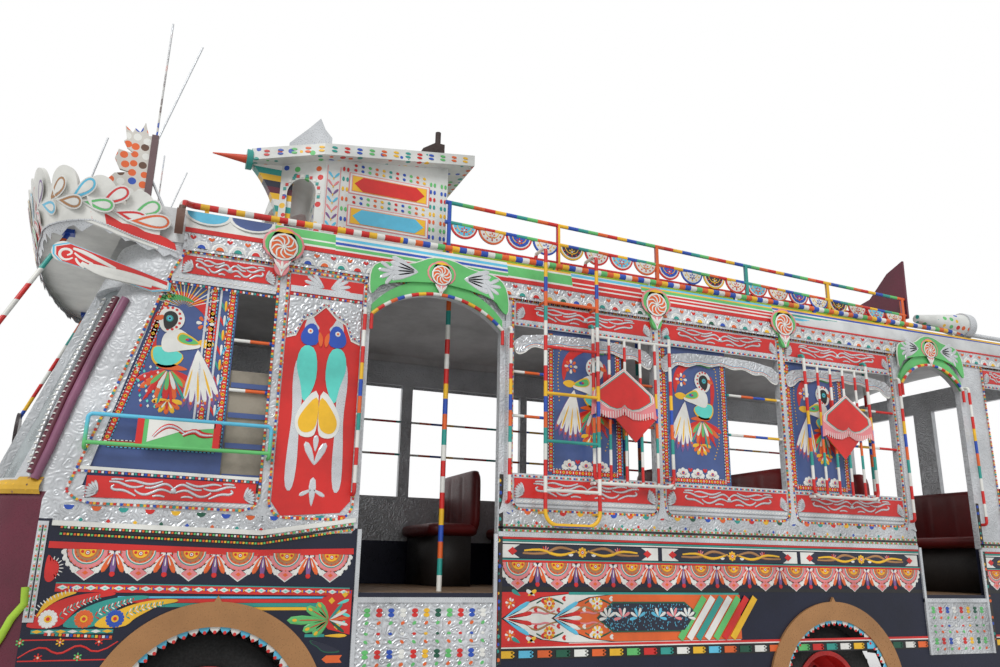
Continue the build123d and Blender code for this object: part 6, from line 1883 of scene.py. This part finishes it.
class BUS_OT_lower(bpy.types.Operator):
    """Paint the lower panels between the wheels"""

    bl_idname = "bus.lower"
    bl_label = "Lower panels"

    def execute(self, context):
        for side, word in SIDES:
            panel = Piece("lower_panel_" + word)
            front, rear = (1.14, -0.7) if side == LEFT else (2.25, -0.7)
            strip(panel, side, front, rear, 0.985, 0.325, "red", 0, 0.002)
            strip(panel, side, front - 0.5, rear, 1.141, 0.016, "teal", 0, 0.0045)
            strip(panel, side, front - 0.5, rear, 0.835, 0.012, "white", 0, 0.0045)
            ogive(panel, side, front - 0.03, rear, "white", 1)
            ogive(panel, side, front - 0.375, rear, "orange", 2)
            cartouche(panel, side, front - 0.7, rear + 0.36)
            for i, paint in enumerate(("green", "white", "teal", "white", "green", "red", "yellow")):
                place = on_side(side, rear + 0.4 - i * 0.072, 0.985, 0.0085, -38 * side * LEFT)
                panel.put("block", place, paint, (0.046, 0.34, 0.002))
            for z in (1.08, 0.89):
                corner = on_side(side, front - 0.09, z, 0.002)
                flower(panel, corner, 0.034, ["white", "orange"], ("orange", "yellow"), 9)
                for i in range(3):
                    leaf = on_side(
                        side, front - 0.16 - 0.05 * i, z + (0.045 if z > 1 else -0.045), 0.002,
                        60 - 120 * (i % 2)
                    )
                    panel.put("petal", leaf, ("teal", "yellow", "white")[i], (0.03, 0.07, 0.002))
            if side == LEFT:
                wing_plumes(panel)
            panel.done()
            fringe = Piece("arch_fringe_" + word)
            for x in WHEEL_ARCHES:
                for i in range(25):
                    angle = 13 + i * 154 / 24
                    spot = on_side(side, x, 0.462, 0.002)
                    petal = turned(spot, angle - 90, 0.462, 0)
                    fringe.put("petal", petal, ("white", "sky")[i % 2], (0.07, 0.05, 0.004))
                    fringe.dots(turned(spot, angle - 90, 0.47), [("red", 0.01, 0.006)])
            fringe.done()
        return {"FINISHED"}


def arc(first, middle, last, count=8):
    """Points on the arc through three points of (x, y)."""
    a, b, c = (Vector(p) for p in (first, middle, last))
    area = 2 * (a.x * (b.y - c.y) + b.x * (c.y - a.y) + c.x * (a.y - b.y))
    x = (
        a.length_squared * (b.y - c.y) + b.length_squared * (c.y - a.y) + c.length_squared * (a.y - b.y)
    ) / area
    y = (
        a.length_squared * (c.x - b.x) + b.length_squared * (a.x - c.x) + c.length_squared * (b.x - a.x)
    ) / area
    middle = Vector((x, y))
    start = math.atan2(a.y - y, a.x - x)
    turn = (math.atan2(c.y - y, c.x - x) - start + math.pi) % (2 * math.pi) - math.pi
    radius = (a - middle).length
    angles = [start + turn * i / count for i in range(1, count + 1)]
    return [(x + radius * math.cos(t), y + radius * math.sin(t)) for t in angles]


def rim_path():
    """Plan of the crown's upper edge from its left end round to its right end."""
    left = [(3.335, 1.212), (3.695, 1.212), *arc((3.695, 1.212), (3.935, 1.087), (4.047, 0.82))]
    nose = arc((4.047, 0.82), (4.132, 0), (4.047, -0.82), 14)
    return left + nose + [(x, -y) for x, y in reversed(left)][1:]


# The crown's rim in plan, the heights of its foot and rim over x, its forward rake and where that starts
RIM = rim_path()
RIM_LENGTH = sum(math.dist(a, b) for a, b in zip(RIM, RIM[1:]))
FOOT_LINE = [(3.335, 3.055), (3.56, 3.11), (3.76, 3.18), (4.4, 3.18)]
RIM_LINE = [(3.335, 3.24), (3.9, 3.4), (4.4, 3.47)]
RAKE, RAKE_Z = 0.3, 3.4
TURRET_Y = 1.02


def on_crown(distance, share, lift=0):
    """Place on the crown's outer face: share 0 at the foot, 1 at the rim."""
    left = max(0, min(RIM_LENGTH - 1e-6, distance))
    for (x0, y0), (x1, y1) in zip(RIM, RIM[1:]):
        step = math.hypot(x1 - x0, y1 - y0)
        if left <= step:
            break
        left -= step
    x, y = x0 + (x1 - x0) * left / step, y0 + (y1 - y0) * left / step
    foot, rim = between(x, FOOT_LINE), between(x, RIM_LINE)
    z = foot + (rim - foot) * share
    up = Vector((RAKE, 0, 1)).normalized()
    out = up.cross(Vector((x1 - x0, y1 - y0, 0))).normalized()
    place = Matrix((up.cross(out), up, out)).transposed().to_4x4()
    place.translation = Vector((x + RAKE * (z - RAKE_Z), y, z)) + out * (0.0125 + lift)
    return place


def crown_drops(piece):
    """Two rows of outlined drops whose points meet on a line and run to the nose."""
    upper = ["green", "red", "sky", "gold", "purple", "red", "sky", "yellow", "red", "purple", "green"]
    lower = ["red", "green", "gold", "sky", "pink", "red", "green", "purple", "yellow", "sky", "red"]
    count = 20
    step = (RIM_LENGTH - 0.44) / count
    for i in range(count + 1):
        distance = 0.22 + i * step
        foot = on_crown(distance, 0.6, 0.001)
        lean = max(-1.0, min(1.0, foot.translation.y / 1.1))
        crown_drop(piece, foot, -70 * lean, 0.2 - 0.02 * abs(lean), 0.082, upper[min(i, count - i)])
        if i < count:
            foot = on_crown(distance + step / 2, 0.56, 0.0055)
            lean = max(-1.0, min(1.0, foot.translation.y / 1.1))
            angle = -180 + 66 * lean if lean > 0 else 180 + 66 * lean
            crown_drop(piece, foot, angle, 0.17, 0.07, lower[min(i, count - 1 - i)])
    for end, angle in ((0.225, -99), (RIM_LENGTH - 0.225, 99)):
        crown_drop(piece, on_crown(end, 0.46, 0.0085), angle, 0.21, 0.085, "orange")


def crown_drop(piece, foot, angle, length, width, paint):
    """Drop with a grey line, a coloured outline and a white heart."""
    rows = [(0.009, "white"), (0.003, "foil"), (0, paint), (-0.0125, "foil"), (-0.015, "white")]
    for number, (edge, tone) in enumerate(rows):
        spot = turned(foot, angle, -3 * edge, 0.0006 * number)
        piece.put("drop", spot, tone, (width + 2 * edge, length + 4 * edge, 0.0016))


def crown_foot(piece):
    """Scalloped red band and the ragged tin edge below it."""
    count = 90

    def red(u, v):
        wave = 0.26 + 0.1 * abs(math.sin(math.pi * u * RIM_LENGTH / 0.14))
        return on_crown(u * RIM_LENGTH, wave * v, 0.001).translation

    draw = random.Random(sizes().seed)
    drops = [draw.uniform(0.02, 0.075) for _ in range(count + 2)]

    def tatter(u, v):
        fall = drops[round(u * count)] * v
        return on_crown(u * RIM_LENGTH, 0, -0.004 - 0.2 * fall).translation - Vector((RAKE * fall, 0, fall))

    piece.add(bent(count, 3, red), Matrix(), "red")
    piece.add(bent(count, 2, tatter), Matrix(), "foil")
    for distance in spaced(0, RIM_LENGTH, 0.012):
        piece.put("block", on_crown(distance, 0, 0.001), "foil", (0.012, 0.008, 0.004))


def brow_board(piece, side):
    """White board with red leaves and a spiral, edged in light blue."""
    place = on_side(side, 3.56, 2.9, 0.0208)
    outline = [
        (3.24, 2.812), (3.33, 2.793), (3.83, 2.905), (3.868, 2.94), (3.874, 2.99), (3.8, 3.018),
        (3.24, 2.858)
    ]
    local = [((3.56 - x) * side, z - 2.9) for x, z in outline]
    rows = [(1.0, 1, "sky"), (0.965, 0.95, "white"), (0.94, 0.92, "red")]
    for number, (wide, tall, paint) in enumerate(rows):
        scaled = [(wide * x, tall * z) for x, z in local]
        piece.add(cutout(scaled, 0.002, False), lifted(place, 0.0014 * number), paint)
    leaves = [
        (0.05, [(0.3, -0.075), (0.2, -0.05), (0.08, -0.03), (-0.04, -0.015), (-0.12, 0)]),
        (0.045, [(0.22, -0.075), (0.05, -0.055), (-0.08, -0.035), (-0.16, 0.005)]),
        (0.03, [(0.02, 0), (-0.07, 0.035), (-0.16, 0.075), (-0.21, 0.085)]),
        (0.022, [(-0.1, 0.01), (-0.17, 0.03), (-0.2, 0.06)]),
        (0.022, [(-0.14, -0.02), (-0.18, 0), (-0.19, 0.03)]),
        (0.02, [
            (-0.205, 0.03), (-0.235, 0.005), (-0.275, 0.03), (-0.27, 0.07), (-0.23, 0.08), (-0.205, 0.055),
            (-0.235, 0.04)
        ]),
    ]
    for width, points in leaves:
        piece.add(stroke([(side * x, z) for x, z in points], width, 0.06), lifted(place, 0.0046), "white")


def turret_side(piece, side):
    """Cartouches, dotted rows and eave dabs of one side of the turret."""
    out = TURRET_Y - SIDE_Y
    for z, paint in ((3.8, "red"), (3.562, "sky")):
        place = on_side(side, 1.92, z, out)
        rows = [
            (0.575, 0.155, "pink"), (0.56, 0.143, "white"), (0.535, 0.118, "pink"), (0.525, 0.11, "yellow")
        ]
        for number, (wide, tall, tone) in enumerate(rows):
            piece.put("block", place, tone, (wide, tall, 0.002 + 0.001 * number))
        piece.add(cutout(pointed(0.25, 0.06, 0.052), 0.0065, False), place, paint)
    for z in (3.7, 3.662, 3.9, 3.935):
        for i, x in enumerate(spaced(2.19, 1.65, 0.05)):
            place = on_side(side, x, z, out, -24)
            piece.put("disc", place, DAB_MIX[i % 6], (0.012, 0.01, 0.004))
    for x, pitch in ((2.232, 0.075), (1.61, 0.06), (1.53, 0.06)):
        for i, z in enumerate(spaced(3.42, 3.93, pitch)):
            for way in (-0.014, 0.014):
                piece.put("disc", on_side(side, x + way, z, out), DAB_MIX[i % 6], (0.009, 0.017, 0.004))
    for x in (2.355, 2.268):
        strip(piece, side, x + 0.002, x - 0.002, 3.66, 0.48, "pink", out, 0.003)
    for i in range(7):
        leaf = on_side(side, 2.312, 3.45 + i * 0.06, out)
        fan(piece, leaf, 2, -38, 38, 0, 0.06, 0.02, [("sky", "purple", "pink")[i % 3]], 0.003)
        piece.put("diamond", leaf, "yellow", (0.005, 0.012, 0.004))
    for i, x in enumerate(spaced(2.8, 1.36, 0.085)):
        z = 3.872 + (2.85 - x) / 1.52 * 0.2 + 0.041
        place = landed("roof_turret", (x, side * 2.0, z), (0, -side, 0), 0)
        if place:
            for way in (-0.013, 0.013):
                spot = moved(place, 0, way)
                piece.put("disc", spot, DAB_MIX[i % 6], (0.02, 0.009, 0.004))
    for i in range(15):
        angle = math.radians(-12 + i * 204 / 14)
        spot = (2.508 + 0.108 * math.cos(angle), side * 2.0, 3.69 + 0.13 * math.sin(angle))
        place = landed("roof_turret", spot, (0, -side, 0), 0)
        if place:
            piece.put("block", place, ("red", "white", "teal")[i % 3], (0.02, 0.02, 0.004))


class BUS_OT_crown(bpy.types.Operator):
    """Dress the crown over the windscreen, its brow boards and the roof turret"""

    bl_idname = "bus.crown"
    bl_label = "Crown and turret"

    def execute(self, context):
        petals = Piece("crown_petals")
        crown_drops(petals)
        crown_foot(petals)
        for side in (LEFT, RIGHT):
            brow_board(petals, side)
        petals.done()
        turret = Piece("turret_ornaments")
        for side in (LEFT, RIGHT):
            turret_side(turret, side)
        turret.done()
        return {"FINISHED"}


class BUS_OT_fence(bpy.types.Operator):
    """Paint the petal plates and the toe board of the roof fence"""

    bl_idname = "bus.fence"
    bl_label = "Roof fence"

    def execute(self, context):
        plates = Piece("fence_petals")
        grounds = ["sky", "white", "blue", "white", "navy", "white"]
        marks = ["red", "orange", "red", "blue", "yellow", "red"]
        for side in (LEFT, RIGHT):
            for i, x in enumerate(spaced(1.505, -2.72, 0.21)):
                share = (1.54 - x) / 4.295
                place = on_side(side, x, 3.6 - 0.115 * share, 1.1135 - SIDE_Y)
                rows = [
                    (1.0, marks[i % 6]), (0.94, "white"), (0.86, grounds[i % 6]), (0.62, "yellow"),
                    (0.56, grounds[i % 6])
                ]
                rings(plates, "half_disc", place, (0.103, 0.103), rows, 0.0016)
                fan(plates, turned(place, 180, 0.04), 6, 0, 300, 0.006, 0.022, 0.014, [marks[i % 6]], 0.007)
                plates.dots(turned(place, 180, 0.04), [("white", 0.007, 0.008)])
                for angle in (120, 150, 180, 210, 240):
                    plates.put(
                        "diamond", turned(place, angle, 0.072), marks[(i + 1) % 6], (0.008, 0.008, 0.006)
                    )
            for i, x in enumerate(spaced(1.45, -2.7, 0.1)):
                bloom = on_side(side, x, 3.415, 1.099 - SIDE_Y)
                flower(plates, bloom, 0.02, [("red", "navy")[i % 2]], ("white", "red"), 7)
        plates.done()
        return {"FINISHED"}


class BUS_PT_panel(bpy.types.Panel):
    """Buttons and values of the dressing"""

    bl_label = "Decorated bus"
    bl_idname = "BUS_PT_panel"
    bl_space_type = "VIEW_3D"
    bl_region_type = "UI"
    bl_category = "Bus"

    def draw(self, context):
        layout = self.layout
        for operator in OPERATORS:
            layout.operator(operator.bl_idname)
        for group in (context.scene.bus_sizes, context.scene.bus_paints):
            box = layout.box()
            for name in group.__annotations__:
                box.prop(group, name)


OPERATORS = [
    BUS_OT_stage,
    BUS_OT_finishes,
    BUS_OT_belt,
    BUS_OT_sills,
    BUS_OT_boards,
    BUS_OT_corners,
    BUS_OT_soft,
    BUS_OT_tyres,
    BUS_OT_roof_edge,
    BUS_OT_lower,
    BUS_OT_crown,
    BUS_OT_fence,
]
CLASSES = [BusPaints, BusSizes, *OPERATORS, BUS_PT_panel]


def register():
    """Register the classes and the values kept with the scene."""
    for cls in CLASSES:
        bpy.utils.register_class(cls)
    bpy.types.Scene.bus_paints = PointerProperty(type=BusPaints)
    bpy.types.Scene.bus_sizes = PointerProperty(type=BusSizes)


def unregister():
    """Take the classes and the values away again."""
    del bpy.types.Scene.bus_sizes
    del bpy.types.Scene.bus_paints
    for cls in reversed(CLASSES):
        bpy.utils.unregister_class(cls)


def main():
    """Build every piece."""
    register()
    bpy.ops.bus.stage()
    bpy.ops.bus.finishes()
    bpy.ops.bus.belt()
    bpy.ops.bus.sills()
    bpy.ops.bus.boards()
    bpy.ops.bus.corners()
    bpy.ops.bus.soft()
    bpy.ops.bus.tyres()
    bpy.ops.bus.roof_edge()
    bpy.ops.bus.lower()
    bpy.ops.bus.crown()
    bpy.ops.bus.fence()


if __name__ == "__main__":
    main()
